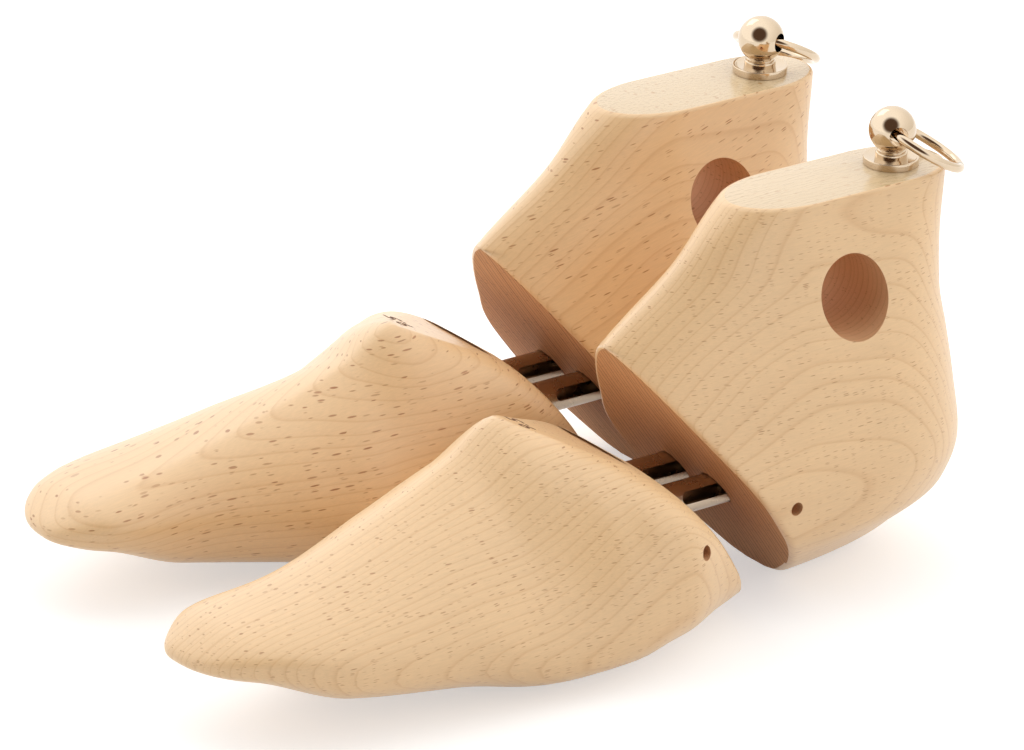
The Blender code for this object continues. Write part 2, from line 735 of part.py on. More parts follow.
def build_tree(side, pose, mirrored):
    before = set(bpy.data.objects)
    heel_block(side)
    forefoot_block(side)
    cross_pin(side + "_heel_pin", HEEL_PIN_HALF, HEEL_PIN_X)
    cross_pin(side + "_forefoot_pin", FORE_PIN_HALF, FORE_PIN_X)
    for place, label in ((-1, "medial"), (1, "lateral")):
        tube(side, label, place)
        points = spring(side, label, place)[1]
        print(side, label, "spring least gap between turns, mm:", round(least_turn_gap(points) * 1000, 2))
    knob(side)
    threaded_insert(side)
    pull_ring(side)
    made = [obj for obj in bpy.data.objects if obj not in before]
    root = bpy.data.objects.new(side + "_tree", None)
    bpy.data.collections[COLLECTION].objects.link(root)
    for obj in made:
        if mirrored:
            mirror_mesh(obj)
        placed = obj.matrix_world.copy()
        obj.parent = root
        obj.matrix_world = placed
    root.matrix_world = pose
    return root


def floor_centre(objects):
    # Middle of the pair's outline on the floor
    bpy.context.view_layer.update()
    graph = bpy.context.evaluated_depsgraph_get()
    corners = []
    for obj in objects:
        shape = obj.evaluated_get(graph)
        mesh = shape.to_mesh()
        corners += [obj.matrix_world @ vertex.co for vertex in mesh.vertices]
        shape.to_mesh_clear()
    middle = [(min(c[i] for c in corners) + max(c[i] for c in corners)) / 2 for i in (0, 1)]
    return Vector((middle[0], middle[1], 0.0))


def main():
    for obj in list(bpy.data.objects):
        bpy.data.objects.remove(obj)
    for name in (COLLECTION, CUTTERS):
        group = bpy.data.collections.get(name) or bpy.data.collections.new(name)
        if name not in bpy.context.scene.collection.children:
            bpy.context.scene.collection.children.link(group)
    second = Matrix.Translation((SECOND_BACK, SECOND_ASIDE, 0))
    roots = [build_tree("right", Matrix.Identity(4), False), build_tree("left", second, True)]
    parts = [obj for obj in bpy.data.collections[COLLECTION].objects if obj.type != "EMPTY"]
    centre = floor_centre(parts)
    for root in roots:
        root.matrix_world = Matrix.Translation(-centre) @ root.matrix_world
    bpy.context.view_layer.update()
    for root in roots:
        hinge = root.matrix_world @ Vector((0, 0, HEEL_HEIGHT + BALL_HEIGHT))
        slide = root.matrix_world @ Vector((FORE_PIN_X, 0, TUBE_HEIGHT))
        print(root.name, "ring hinge", tuple(round(v, 6) for v in hinge),
              "slide", tuple(round(v, 6) for v in slide))


main()
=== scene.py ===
"""Looks of a pair of sprung beech boot trees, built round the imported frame.

Each tree is a forefoot block on two telescopic tubes that slide in a tall heel block, with a
turned pull knob and a ring on top. The two trees are mirror images, so every piece is shaped
once, from its own knob axis, and copied to the second tree. Lengths are in metres.
"""

import logging
import math
from dataclasses import dataclass
from enum import Enum

import bpy
from mathutils import Euler, Matrix, Vector


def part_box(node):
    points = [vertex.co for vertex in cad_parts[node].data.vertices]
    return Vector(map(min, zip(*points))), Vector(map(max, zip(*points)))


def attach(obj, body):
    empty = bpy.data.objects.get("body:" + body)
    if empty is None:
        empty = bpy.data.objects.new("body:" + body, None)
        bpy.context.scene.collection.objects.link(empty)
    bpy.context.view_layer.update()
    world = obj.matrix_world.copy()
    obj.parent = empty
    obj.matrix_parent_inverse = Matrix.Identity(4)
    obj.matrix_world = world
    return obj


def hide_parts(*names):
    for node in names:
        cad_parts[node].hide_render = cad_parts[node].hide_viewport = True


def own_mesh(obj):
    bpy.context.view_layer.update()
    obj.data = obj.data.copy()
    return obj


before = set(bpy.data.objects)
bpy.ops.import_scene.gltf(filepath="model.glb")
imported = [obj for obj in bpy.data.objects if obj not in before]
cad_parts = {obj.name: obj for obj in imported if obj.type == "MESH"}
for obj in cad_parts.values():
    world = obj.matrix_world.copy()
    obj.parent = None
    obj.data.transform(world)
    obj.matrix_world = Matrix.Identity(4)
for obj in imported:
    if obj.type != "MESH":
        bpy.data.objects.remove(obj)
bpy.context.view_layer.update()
LOG = logging.getLogger("boot_trees")
MILLIMETRE = 0.001
# Play round a piece that slides or is fitted in a bore
SLIDE_GAP = 0.3 * MILLIMETRE
# Points nearer than the first merge, faces thinner than the second go, and a line shorter
# than the third is a single point
MERGED = MILLIMETRE / 100
DISSOLVED = MILLIMETRE / 1000
SHORTEST = MILLIMETRE / 50
# Cosine above which a face counts as part of a plane
IN_PLANE = 0.995
# Least angles in degrees that stay sharp on wood, on turned metal and on wire
WOOD_CREASE = 32
METAL_CREASE = 40
WIRE_CREASE = 50
# A cutter that goes right through is this many times the half width that it crosses
THROUGH = 3
CUTTER_SIDES = 72
EDGE_STEPS = 6
Piece = bpy.types.Object
Material = bpy.types.Material
NodeTree = bpy.types.NodeTree
Node = bpy.types.Node
Socket = bpy.types.NodeSocket
Row = tuple[float, ...]
Table = tuple[Row, ...]


class Side(Enum):
    """Which foot a tree is for. The right tree stands in front."""

    RIGHT = "right"
    LEFT = "left"


class Slot(Enum):
    """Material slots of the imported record."""

    BEECH = "beech"
    NICKEL = "polished_nickel"
    TUBE_STEEL = "tube_steel"
    SPRING_STEEL = "spring_steel"


@dataclass(frozen=True)
class Standing:
    """Where one tree stands.

    Args:
        side: The foot it is for.
        knob_axis: Where its knob axis meets the floor.
        mirrored: Whether it is the mirror image of the shape as drawn.
    """

    side: Side
    knob_axis: Vector
    mirrored: bool

    def pose(self) -> Matrix:
        """Returns the matrix from a tree's own axes to the row frame."""
        flip = Matrix.Scale(-1.0 if self.mirrored else 1.0, 4, (0, 1, 0))
        return Matrix.Translation(self.knob_axis) @ flip

    def node(self, piece: str) -> str:
        """Returns the name of this tree's node for a piece."""
        return f"{self.side.value}_{piece}"


def standing(side: Side) -> Standing:
    """Finds where the frame's tree stands.

    Args:
        side: The foot the tree is for.

    Returns:
        Its standing, read from the middle of its knob washer.
    """
    low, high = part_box(f"{side.value}_knob_washer")
    middle = (low + high) / 2
    return Standing(side, Vector((middle.x, middle.y, 0.0)), side is Side.LEFT)


def linear(hex_colour: str) -> tuple[float, float, float, float]:
    """Turns an sRGB hex colour to linear.

    Args:
        hex_colour: Six hex digits.

    Returns:
        Red, green, blue and alpha.
    """
    shares = [int(hex_colour[i:i + 2], 16) / 255 for i in (0, 2, 4)]
    levels = [s / 12.92 if s <= 0.04045 else ((s + 0.055) / 1.055) ** 2.4 for s in shares]
    return (levels[0], levels[1], levels[2], 1.0)


def set_inputs(tree: NodeTree, node: Node, inputs: dict) -> None:
    """Sets or links a node's inputs.

    Args:
        tree: The node tree.
        node: The node.
        inputs: Values or output sockets by input name or number.
    """
    for name, value in inputs.items():
        if isinstance(value, Socket):
            tree.links.new(value, node.inputs[name])
        else:
            node.inputs[name].default_value = value


def add_node(tree: NodeTree, kind: str, inputs: dict, **settings: str | bool) -> Node:
    """Adds a node with its settings and links.

    Args:
        tree: The node tree.
        kind: The node's type.
        inputs: Values or output sockets by input name or number.
        settings: Its properties by name.

    Returns:
        The new node.
    """
    node = tree.nodes.new(kind)
    for name, value in settings.items():
        setattr(node, name, value)
    set_inputs(tree, node, inputs)
    return node


def set_ramp(node: Node, stops: tuple[tuple[float, str], ...]) -> Node:
    """Sets a colour ramp's stops.

    Args:
        node: The colour ramp.
        stops: Place and hex colour of each stop.

    Returns:
        The same node.
    """
    elements = node.color_ramp.elements
    while len(elements) < len(stops):
        elements.new(1.0)
    for element, (place, colour) in zip(elements, stops):
        element.position = place
        element.color = linear(colour)
    return node


def new_material(name: str) -> tuple[Material, NodeTree, Node]:
    """Starts a material.

    Args:
        name: Its name.

    Returns:
        The material, its node tree and its shader.
    """
    material = bpy.data.materials.new(name)
    material.use_nodes = True
    return material, material.node_tree, material.node_tree.nodes["Principled BSDF"]


@dataclass(frozen=True)
class Board:
    """The plank one block was cut from.

    Args:
        pith: Where the heart of the trunk lies from the block's knob axis.
        lean: Turn of the grain about the Y and Z axes.
        ring: Width of one year's growth.
        rays: How strongly the ray flecks show.
        fleck: Room that one ray fleck has along the grain, across it and upward.
    """

    pith: Vector
    lean: tuple[float, float]
    ring: float
    rays: float
    fleck: Vector


# Beech pores are under 0.1 mm wide, too fine to show, so the fine grain is drawn as streaks of
# about 5 by 0.7 by 0.4 mm. The numbers are steps per metre along the grain, across it and upward
STREAKS = (190, 1500, 2400)
# Finer layers of the streaks, and how strong those are
STREAK_DETAIL = 3.0
STREAK_BREAKUP = 0.6
# How much the streaks change the wood's tone and roughness, and their bump
STREAK_TONE = 0.20
STREAK_SHEEN = 0.16
STREAK_RELIEF = 0.06
STREAK_DEPTH = 0.1 * MILLIMETRE
# Clouds of paler and darker wood, about 7 by 3 cm
CLOUDS = (14, 30, 30)
CLOUD_DETAIL = 2.0
CLOUD_TONE = 0.16
MEAN_TONE = 0.91
# Slow bends of the year lines, about 12 by 5 cm, and how far they can move a line
BENDS = (8, 20, 20)
BEND_DETAIL = 1.5
BEND_REACH = 9 * MILLIMETRE
# Good and bad years put the lines out of step by up to this many rings, and how fast that changes
UNEVEN_YEARS = 1.3
UNEVEN_RATE = 0.45
# Share of late wood through one year
YEAR_PROFILE = (
    (0.0, "5A5A5A"), (0.12, "000000"), (0.50, "2A2A2A"),
    (0.80, "7A7A7A"), (0.94, "F0F0F0"), (1.0, "7A7A7A"))
# Chance below which a cell holds no ray, how far the longest ray reaches in its cell, the soft
# edge outside and inside that, and how strong the palest ray is
RAY_CHANCE = 0.30
RAY_REACH = 0.40
RAY_EDGE = (-0.04, 0.14)
RAY_LEAST = 0.35


def mottle(tree: NodeTree, plank: Socket, steps: Row, detail: float, breakup: float = 0.5) -> Node:
    """Adds soft noise stretched along a plank.

    Args:
        tree: The node tree.
        plank: Coordinates from the pith, along the grain.
        steps: Its steps per metre along the grain, across it and upward.
        detail: How many finer layers it has.
        breakup: How strong those are.

    Returns:
        The noise.
    """
    stretched = add_node(tree, "ShaderNodeMapping", {"Vector": plank, "Scale": steps}).outputs[0]
    return add_node(tree, "ShaderNodeTexNoise", {
        "Vector": stretched, "Scale": 1.0, "Detail": detail, "Roughness": breakup})


@dataclass(frozen=True)
class BeechFinish:
    """A surface of the beech blocks.

    Args:
        name: What the surface is.
        early: Colour of the spring growth.
        late: Colour of the line at the end of each year.
        fleck: Colour of the ray flecks.
        roughness: Roughness of the wood.
        lacquer: Weight of the clear coat.
        lacquer_roughness: Roughness of the clear coat.
        line: How strongly the year lines show.
        grain: How strongly the fine grain shows and is felt.
    """

    name: str
    early: str
    late: str
    fleck: str
    roughness: float
    lacquer: float
    lacquer_roughness: float
    line: float
    grain: float

    def material(self, board: Board, where: Standing) -> Material:
        """Makes the material for one block.

        Args:
            board: The plank the block was cut from.
            where: Where its tree stands.

        Returns:
            The material.
        """
        material, tree, shader = new_material(f"{self.name}_{where.side.value}")
        place = add_node(tree, "ShaderNodeTexCoord", {}).outputs["Object"]
        lean = Euler((0.0, *board.lean))
        start = lean.to_matrix() @ -(where.knob_axis + board.pith)
        plank = add_node(tree, "ShaderNodeMapping", {
            "Vector": place, "Location": start, "Rotation": lean}).outputs[0]
        lines = self.year_lines(tree, plank, board)
        flecks = self.ray_flecks(tree, plank, board)
        streak = mottle(tree, plank, STREAKS, STREAK_DETAIL, STREAK_BREAKUP).outputs[0]
        cloud = mottle(tree, plank, CLOUDS, CLOUD_DETAIL).outputs[0]
        contrast = STREAK_TONE * self.grain
        tone = add_node(
            tree, "ShaderNodeMath", {0: streak, 1: contrast, 2: MEAN_TONE - contrast / 2},
            operation="MULTIPLY_ADD").outputs[0]
        tone = add_node(
            tree, "ShaderNodeMath", {0: cloud, 1: CLOUD_TONE, 2: tone},
            operation="MULTIPLY_ADD").outputs[0]
        wood = add_node(
            tree, "ShaderNodeMix", {0: lines, 6: linear(self.early), 7: linear(self.late)},
            data_type="RGBA").outputs[2]
        share = add_node(
            tree, "ShaderNodeMath", {0: flecks, 1: board.rays}, operation="MULTIPLY").outputs[0]
        flecked = add_node(
            tree, "ShaderNodeMix", {0: share, 6: wood, 7: linear(self.fleck)},
            data_type="RGBA").outputs[2]
        toned = add_node(
            tree, "ShaderNodeMix", {0: 1.0, 6: flecked, 7: tone},
            data_type="RGBA", blend_type="MULTIPLY").outputs[2]
        relief = add_node(tree, "ShaderNodeBump", {
            "Strength": STREAK_RELIEF * self.grain, "Distance": STREAK_DEPTH, "Height": streak})
        dull = add_node(
            tree, "ShaderNodeMath",
            {0: streak, 1: STREAK_SHEEN, 2: self.roughness - STREAK_SHEEN / 2},
            operation="MULTIPLY_ADD")
        set_inputs(tree, shader, {
            "Base Color": toned, "Normal": relief.outputs[0], "Roughness": dull.outputs[0],
            "Coat Weight": self.lacquer, "Coat Roughness": self.lacquer_roughness})
        return material

    def year_lines(self, tree: NodeTree, plank: Socket, board: Board) -> Socket:
        """Draws the growth rings as shells round the pith, a little wavy.

        Args:
            tree: The node tree.
            plank: Coordinates from the pith, along the grain.
            board: The plank, for the width of its rings.

        Returns:
            Share of late wood, from 0 to 1.
        """
        wave = mottle(tree, plank, BENDS, BEND_DETAIL).outputs["Color"]
        waved = add_node(
            tree, "ShaderNodeVectorMath", {0: wave, 1: (0.0, BEND_REACH, BEND_REACH), 2: plank},
            operation="MULTIPLY_ADD").outputs[0]
        across = add_node(
            tree, "ShaderNodeVectorMath", {0: waved, 1: (0.0, 1.0, 1.0)},
            operation="MULTIPLY").outputs[0]
        radius = add_node(
            tree, "ShaderNodeVectorMath", {0: across}, operation="LENGTH").outputs["Value"]
        even = add_node(
            tree, "ShaderNodeMath", {0: radius, 1: 1 / board.ring}, operation="MULTIPLY").outputs[0]
        growth = add_node(
            tree, "ShaderNodeTexNoise", {"W": even, "Scale": UNEVEN_RATE}, noise_dimensions="1D")
        years = add_node(
            tree, "ShaderNodeMath", {0: growth.outputs[0], 1: UNEVEN_YEARS, 2: even},
            operation="MULTIPLY_ADD").outputs[0]
        within = add_node(tree, "ShaderNodeMath", {0: years}, operation="FRACT").outputs[0]
        profile = set_ramp(add_node(tree, "ShaderNodeValToRGB", {0: within}), YEAR_PROFILE)
        return add_node(
            tree, "ShaderNodeMath", {0: profile.outputs[0], 1: self.line},
            operation="MULTIPLY").outputs[0]

    def ray_flecks(self, tree: NodeTree, plank: Socket, board: Board) -> Socket:
        """Draws the rays, thin ribbons across the rings that show as short dark dashes.

        A ray is 1 to 3 mm long and about 0.15 mm thick. It is drawn two to three times as
        thick here, the least that shows in the render.

        Args:
            tree: The node tree.
            plank: Coordinates from the pith, along the grain.
            board: The plank, for the room that each ray has.

        Returns:
            Share of ray, from 0 to 1.
        """
        room = [1 / size for size in board.fleck]
        cells = add_node(tree, "ShaderNodeMapping", {"Vector": plank, "Scale": room}).outputs[0]
        spots = add_node(tree, "ShaderNodeTexVoronoi", {"Vector": cells, "Scale": 1.0})
        chance = add_node(tree, "ShaderNodeSeparateColor", {0: spots.outputs["Color"]})
        reach = add_node(tree, "ShaderNodeMapRange", {
            "Value": chance.outputs[0], "From Min": RAY_CHANCE, "From Max": 1.0,
            "To Min": 0.0, "To Max": RAY_REACH}).outputs[0]
        inside = add_node(
            tree, "ShaderNodeMath", {0: reach, 1: spots.outputs["Distance"]},
            operation="SUBTRACT").outputs[0]
        mask = add_node(
            tree, "ShaderNodeMapRange",
            {"Value": inside, "From Min": RAY_EDGE[0], "From Max": RAY_EDGE[1]},
            interpolation_type="SMOOTHSTEP").outputs[0]
        depth = add_node(
            tree, "ShaderNodeMath", {0: chance.outputs[1], 1: 1 - RAY_LEAST, 2: RAY_LEAST},
            operation="MULTIPLY_ADD").outputs[0]
        return add_node(
            tree, "ShaderNodeMath", {0: mask, 1: depth}, operation="MULTIPLY").outputs[0]


# Finer layers of a plain finish's patches, and how much their tone changes
PATCH_DETAIL = 3.0
PATCH_TONE = 0.12


@dataclass(frozen=True)
class PlainFinish:
    """A surface of one colour: polished or drawn metal, or the burnt number.

    Polishing marks are a few thousandths of a millimetre wide, too fine to show, so they are
    drawn as patches that are a little duller.

    Args:
        name: What the surface is.
        colour: Its colour.
        roughness: Its lowest roughness.
        uneven: How much rougher its dull patches are.
        patch: Size of those patches.
        metallic: 1 for a metal, otherwise 0.
    """

    name: str
    colour: str
    roughness: float
    uneven: float
    patch: float
    metallic: float

    def material(self) -> Material:
        """Makes the material, its roughness wandering a little as hand polishing leaves it.

        Returns:
            The material.
        """
        material, tree, shader = new_material(self.name)
        place = add_node(tree, "ShaderNodeTexCoord", {}).outputs["Object"]
        marks = add_node(tree, "ShaderNodeTexNoise", {
            "Vector": place, "Scale": 1 / self.patch, "Detail": PATCH_DETAIL}).outputs[0]
        rough = add_node(
            tree, "ShaderNodeMath", {0: marks, 1: self.uneven, 2: self.roughness},
            operation="MULTIPLY_ADD").outputs[0]
        shade = add_node(
            tree, "ShaderNodeMath", {0: marks, 1: PATCH_TONE, 2: 1 - PATCH_TONE / 2},
            operation="MULTIPLY_ADD").outputs[0]
        tinted = add_node(
            tree, "ShaderNodeMix", {0: 1.0, 6: linear(self.colour), 7: shade},
            data_type="RGBA", blend_type="MULTIPLY").outputs[2]
        set_inputs(tree, shader, {
            "Base Color": tinted, "Roughness": rough, "Metallic": self.metallic})
        return material


# Steamed beech under a clear satin lacquer: pale honey, with a soft white sheen
LACQUERED = BeechFinish(
    name="satin_lacquered_beech", early="F0CB9B", late="D8A974", fleck="A8642C",
    roughness=0.40, lacquer=0.42, lacquer_roughness=0.32, line=0.52, grain=1.0)
# The top is planed flat and takes the most polish, so it shines most. Its greyer colour and faint
# year lines are painted sheen, the wash of light off the top
PLANED_PAINTED_SHEEN = BeechFinish(
    name="planed_beech_painted_sheen", early="DDC39A", late="D3B388", fleck="C0945F",
    roughness=0.28, lacquer=0.65, lacquer_roughness=0.14, line=0.40, grain=0.35)
# Cut across the grain, beech drinks its lacquer and goes a dark red brown with close lines. That
# darkness is partly painted shade, as the sloping faces look down or into the gap between the
# blocks
SAWN_PAINTED_SHADE = BeechFinish(
    name="end_grain_beech_painted_shade", early="D19B6B", late="865533", fleck="8A5E3E",
    roughness=0.70, lacquer=0.0, lacquer_roughness=0.40, line=1.0, grain=1.0)
# Bored walls are raw and dull; their darker colour is painted shade inside the bores
BORED_PAINTED_SHADE = BeechFinish(
    name="bored_beech_painted_shade", early="DDAE82", late="BC8A60", fleck="A8764E",
    roughness=0.62, lacquer=0.0, lacquer_roughness=0.50, line=0.60, grain=1.0)
# The number is burnt in, a matt brown
BURNT = PlainFinish(
    name="burnt_number", colour="6B4426",
    roughness=0.70, uneven=0.20, patch=0.0006, metallic=0.0)
# Nickel plate over turned brass, polished to a warm mirror
NICKEL = PlainFinish(
    name="polished_nickel_plate", colour="D2BFA6",
    roughness=0.06, uneven=0.08, patch=0.0040, metallic=1.0)
# Drawn steel tube, plated bright and rubbed by sliding
TUBE_STEEL = PlainFinish(
    name="plated_steel_tube", colour="C6B6A2",
    roughness=0.24, uneven=0.08, patch=0.0060, metallic=1.0)
# Hard-drawn spring wire, a dull grey
SPRING_WIRE = PlainFinish(
    name="drawn_spring_wire", colour="7C7F84",
    roughness=0.30, uneven=0.20, patch=0.0010, metallic=1.0)
# Free-turning brass, left as machined
BRASS = PlainFinish(
    name="machined_brass", colour="C9A25B",
    roughness=0.25, uneven=0.15, patch=0.0010, metallic=1.0)


def smooth_table(table: Table, at: float) -> list[float]:
    """Reads a monotone cubic through a table's rows.

    Args:
        table: Rows whose first value rises.
        at: Where to read it.

    Returns:
        The other columns there.
    """
    if at <= table[0][0]:
        return list(table[0][1:])
    if at >= table[-1][0]:
        return list(table[-1][1:])
    row = max(i for i in range(len(table) - 1) if table[i][0] <= at)
    low, high = table[row], table[row + 1]
    span = high[0] - low[0]
    t = (at - low[0]) / span
    values = []
    for column in range(1, len(low)):
        rise = table_slope(table, row, column) * span
        fall = table_slope(table, row + 1, column) * span
        values.append(
            (2 * t**3 - 3 * t**2 + 1) * low[column] + (t**3 - 2 * t**2 + t) * rise
            + (3 * t**2 - 2 * t**3) * high[column] + (t**3 - t**2) * fall)
    return values


def table_slope(table: Table, row: int, column: int) -> float:
    """Slope of a column at a row, level at the ends and at each turn.

    Args:
        table: The table.
        row: The row.
        column: The column.

    Returns:
        The slope.
    """
    if row in (0, len(table) - 1):
        return 0.0
    before = (table[row][column] - table[row - 1][column]) / (table[row][0] - table[row - 1][0])
    after = (table[row + 1][column] - table[row][column]) / (table[row + 1][0] - table[row][0])
    if before * after <= 0:
        return 0.0
    return 2 * before * after / (before + after)


def superellipse(share: float, power: float) -> float:
    """Half width of a rounded outline at a share of the way in from its end."""
    inward = min(max(1 - share, 0.0), 1.0)
    return (1 - inward**power) ** (1 / power)


def resample(points: list[Vector], count: int, ends: float) -> list[Vector]:
    """Spreads points evenly along a line, drawn in a little toward its ends.

    Args:
        points: The line.
        count: How many steps it gets.
        ends: How far the steps draw in.

    Returns:
        One point more than the steps.
    """
    lengths = [0.0]
    for a, b in zip(points, points[1:]):
        lengths.append(lengths[-1] + (b - a).length)
    if lengths[-1] < SHORTEST:
        return [points[0].copy() for _ in range(count + 1)]
    placed = []
    segment = 0
    for step in range(count + 1):
        share = step / count
        share -= ends * math.sin(2 * math.pi * share) / (2 * math.pi)
        target = share * lengths[-1]
        while segment < len(points) - 2 and lengths[segment + 1] < target:
            segment += 1
        run = lengths[segment + 1] - lengths[segment]
        blend = (target - lengths[segment]) / run if run > 0 else 0.0
        placed.append(points[segment].lerp(points[segment + 1], min(max(blend, 0.0), 1.0)))
    return placed


def start_primitive() -> None:
    """Leaves nothing selected, so that the next operator acts on its own piece."""
    if bpy.context.object and bpy.context.object.mode != "OBJECT":
        bpy.ops.object.mode_set(mode="OBJECT")
    bpy.ops.object.select_all(action="DESELECT")


def select_only(piece: Piece) -> None:
    """Selects one piece, so that the next operator acts on it alone.

    Args:
        piece: The piece.
    """
    start_primitive()
    piece.select_set(True)
    bpy.context.view_layer.objects.active = piece


def tidy_shell(piece: Piece) -> None:
    """Merges a shell's doubles, closes its open ends and points its faces outward.

    Args:
        piece: The selected, active piece.
    """
    bpy.ops.object.mode_set(mode="EDIT")
    bpy.ops.mesh.select_mode(type="VERT")
    bpy.ops.mesh.select_all(action="SELECT")
    bpy.ops.mesh.remove_doubles(threshold=MERGED)
    bpy.ops.mesh.dissolve_degenerate(threshold=DISSOLVED)
    bpy.ops.mesh.select_all(action="DESELECT")
    bpy.ops.mesh.select_non_manifold()
    bpy.ops.mesh.fill_holes(sides=0)
    bpy.ops.mesh.select_all(action="SELECT")
    bpy.ops.mesh.normals_make_consistent(inside=False)
    bpy.ops.object.mode_set(mode="OBJECT")


def skin(name: str, rings: list[list[Vector]]) -> Piece:
    """Wraps a grid round a stack of rings and closes it.

    Args:
        name: The piece's name.
        rings: Rings with as many points each.

    Returns:
        The closed piece.
    """
    columns = len(rings[0])
    start_primitive()
    bpy.ops.mesh.primitive_grid_add(
        x_subdivisions=columns, y_subdivisions=len(rings) - 1, size=2.0)
    piece = bpy.context.object
    piece.name = piece.data.name = name
    for vertex in piece.data.vertices:
        column = round((vertex.co.x + 1) / 2 * columns) % columns
        row = round((vertex.co.y + 1) / 2 * (len(rings) - 1))
        vertex.co = rings[row][column]
    tidy_shell(piece)
    return piece


def spun(name: str, profile: list[tuple[float, float]], steps: int) -> Piece:
    """Spins a closed outline about the Z axis.

    Args:
        name: The piece's name.
        profile: Radius and height of each corner, in order.
        steps: Steps of the spin.

    Returns:
        The closed piece.
    """
    start_primitive()
    bpy.ops.mesh.primitive_circle_add(
        vertices=len(profile), radius=MILLIMETRE, fill_type="NOTHING")
    piece = bpy.context.object
    piece.name = piece.data.name = name
    for vertex, (radius, height) in zip(piece.data.vertices, profile):
        vertex.co = (radius, 0.0, height)
    bpy.ops.object.mode_set(mode="EDIT")
    bpy.ops.mesh.select_all(action="SELECT")
    bpy.ops.mesh.spin(steps=steps, angle=2 * math.pi, center=(0, 0, 0), axis=(0, 0, 1))
    bpy.ops.object.mode_set(mode="OBJECT")
    tidy_shell(piece)
    return piece


def rod_cutter(radius: float, length: float, pose: Matrix, wall: Material | None = None) -> Piece:
    """Makes a round cutter that runs from its pose's origin along its Z.

    Args:
        radius: Its radius.
        length: Its length.
        pose: Where it starts and where it points.
        wall: Finish that it leaves on the wall it cuts.

    Returns:
        The cutter.
    """
    start_primitive()
    bpy.ops.mesh.primitive_cylinder_add(
        vertices=CUTTER_SIDES, radius=radius, depth=length, location=(0, 0, length / 2))
    cutter = bpy.context.object
    place_mesh(cutter, pose @ cutter.matrix_world)
    if wall:
        cutter.data.materials.append(wall)
    return cutter


def place_mesh(piece: Piece, pose: Matrix) -> None:
    """Puts a piece's place into its mesh and its object at the origin.

    Args:
        piece: The piece.
        pose: Its place.
    """
    piece.data.transform(pose)
    if pose.determinant() < 0:
        piece.data.flip_normals()
    piece.matrix_world = Matrix.Identity(4)


def cut_out(piece: Piece, cutter: Piece) -> None:
    """Cuts a piece with a cutter, which is then gone.

    Args:
        piece: The piece to cut.
        cutter: The cutter.
    """
    cut = piece.modifiers.new("cut", "BOOLEAN")
    cut.operation = "DIFFERENCE"
    cut.solver = "EXACT"
    cut.material_mode = "TRANSFER"
    cut.object = cutter
    select_only(piece)
    bpy.ops.object.modifier_apply(modifier=cut.name)
    bpy.data.objects.remove(cutter)


def smooth(piece: Piece, degrees: float) -> None:
    """Shades a piece smooth except over sharp edges.

    Args:
        piece: The piece.
        degrees: The least angle that stays sharp.
    """
    select_only(piece)
    bpy.ops.object.shade_smooth_by_angle(angle=math.radians(degrees))


def copied(piece: Piece, name: str) -> Piece:
    """Copies a piece with its own mesh.

    Args:
        piece: The piece.
        name: The copy's name.

    Returns:
        The copy.
    """
    twin = piece.copy()
    twin.data = piece.data.copy()
    twin.name = twin.data.name = name
    bpy.context.scene.collection.objects.link(twin)
    return twin


def along_x(x: float, y: float, z: float) -> Matrix:
    """Returns a pose at a point whose Z runs along X."""
    return Matrix.Translation((x, y, z)) @ Matrix.Rotation(math.radians(90), 4, "Y")


def along_y(x: float, y: float, z: float) -> Matrix:
    """Returns a pose at a point whose Z runs along Y."""
    return Matrix.Translation((x, y, z)) @ Matrix.Rotation(math.radians(-90), 4, "X")


def register(piece: Piece, node: str, body: str) -> None:
    """Ties a piece to the frame and logs it.

    Args:
        piece: The finished piece.
        node: The node that it stands for.
        body: The body that it rides on.
    """
    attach(piece, body)
    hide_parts(node)
    LOG.info("%s: %d faces, rides on %s", piece.name, len(piece.data.polygons), body)


def dress(piece: Piece, *finishes: Material) -> None:
    """Gives a piece its finishes, in place of any that it has.

    Args:
        piece: The piece.
        finishes: Its materials, in the order of their slots.
    """
    piece.data.materials.clear()
    for finish in finishes:
        piece.data.materials.append(finish)


def rounding() -> list[tuple[float, float]]:
    """Works out the steps round an edge of radius 1.

    Returns:
        How far each step is below the edge's end and in from its side.
    """
    turns = [math.pi / 2 * i / EDGE_STEPS for i in range(EDGE_STEPS + 1)]
    return [(1 - math.sin(turn), 1 - math.cos(turn)) for turn in turns]


@dataclass
class SlopingCut:
    """The parallel sloping planes that part the heel block from the forefoot block."""

    tip_reach: float = 0.1045
    tip_height: float = 0.082
    slope: float = math.radians(54)
    gap: float = 0.0228
    edge_round: float = 0.0026

    def heel_x(self, height: float) -> float:
        """Returns where the heel block's front plane is at a height."""
        return -self.tip_reach + (self.tip_height - height) / math.tan(self.slope)

    def fore_x(self, height: float) -> float:
        """Returns where the forefoot block's rear plane is at a height."""
        return self.heel_x(height) - self.gap


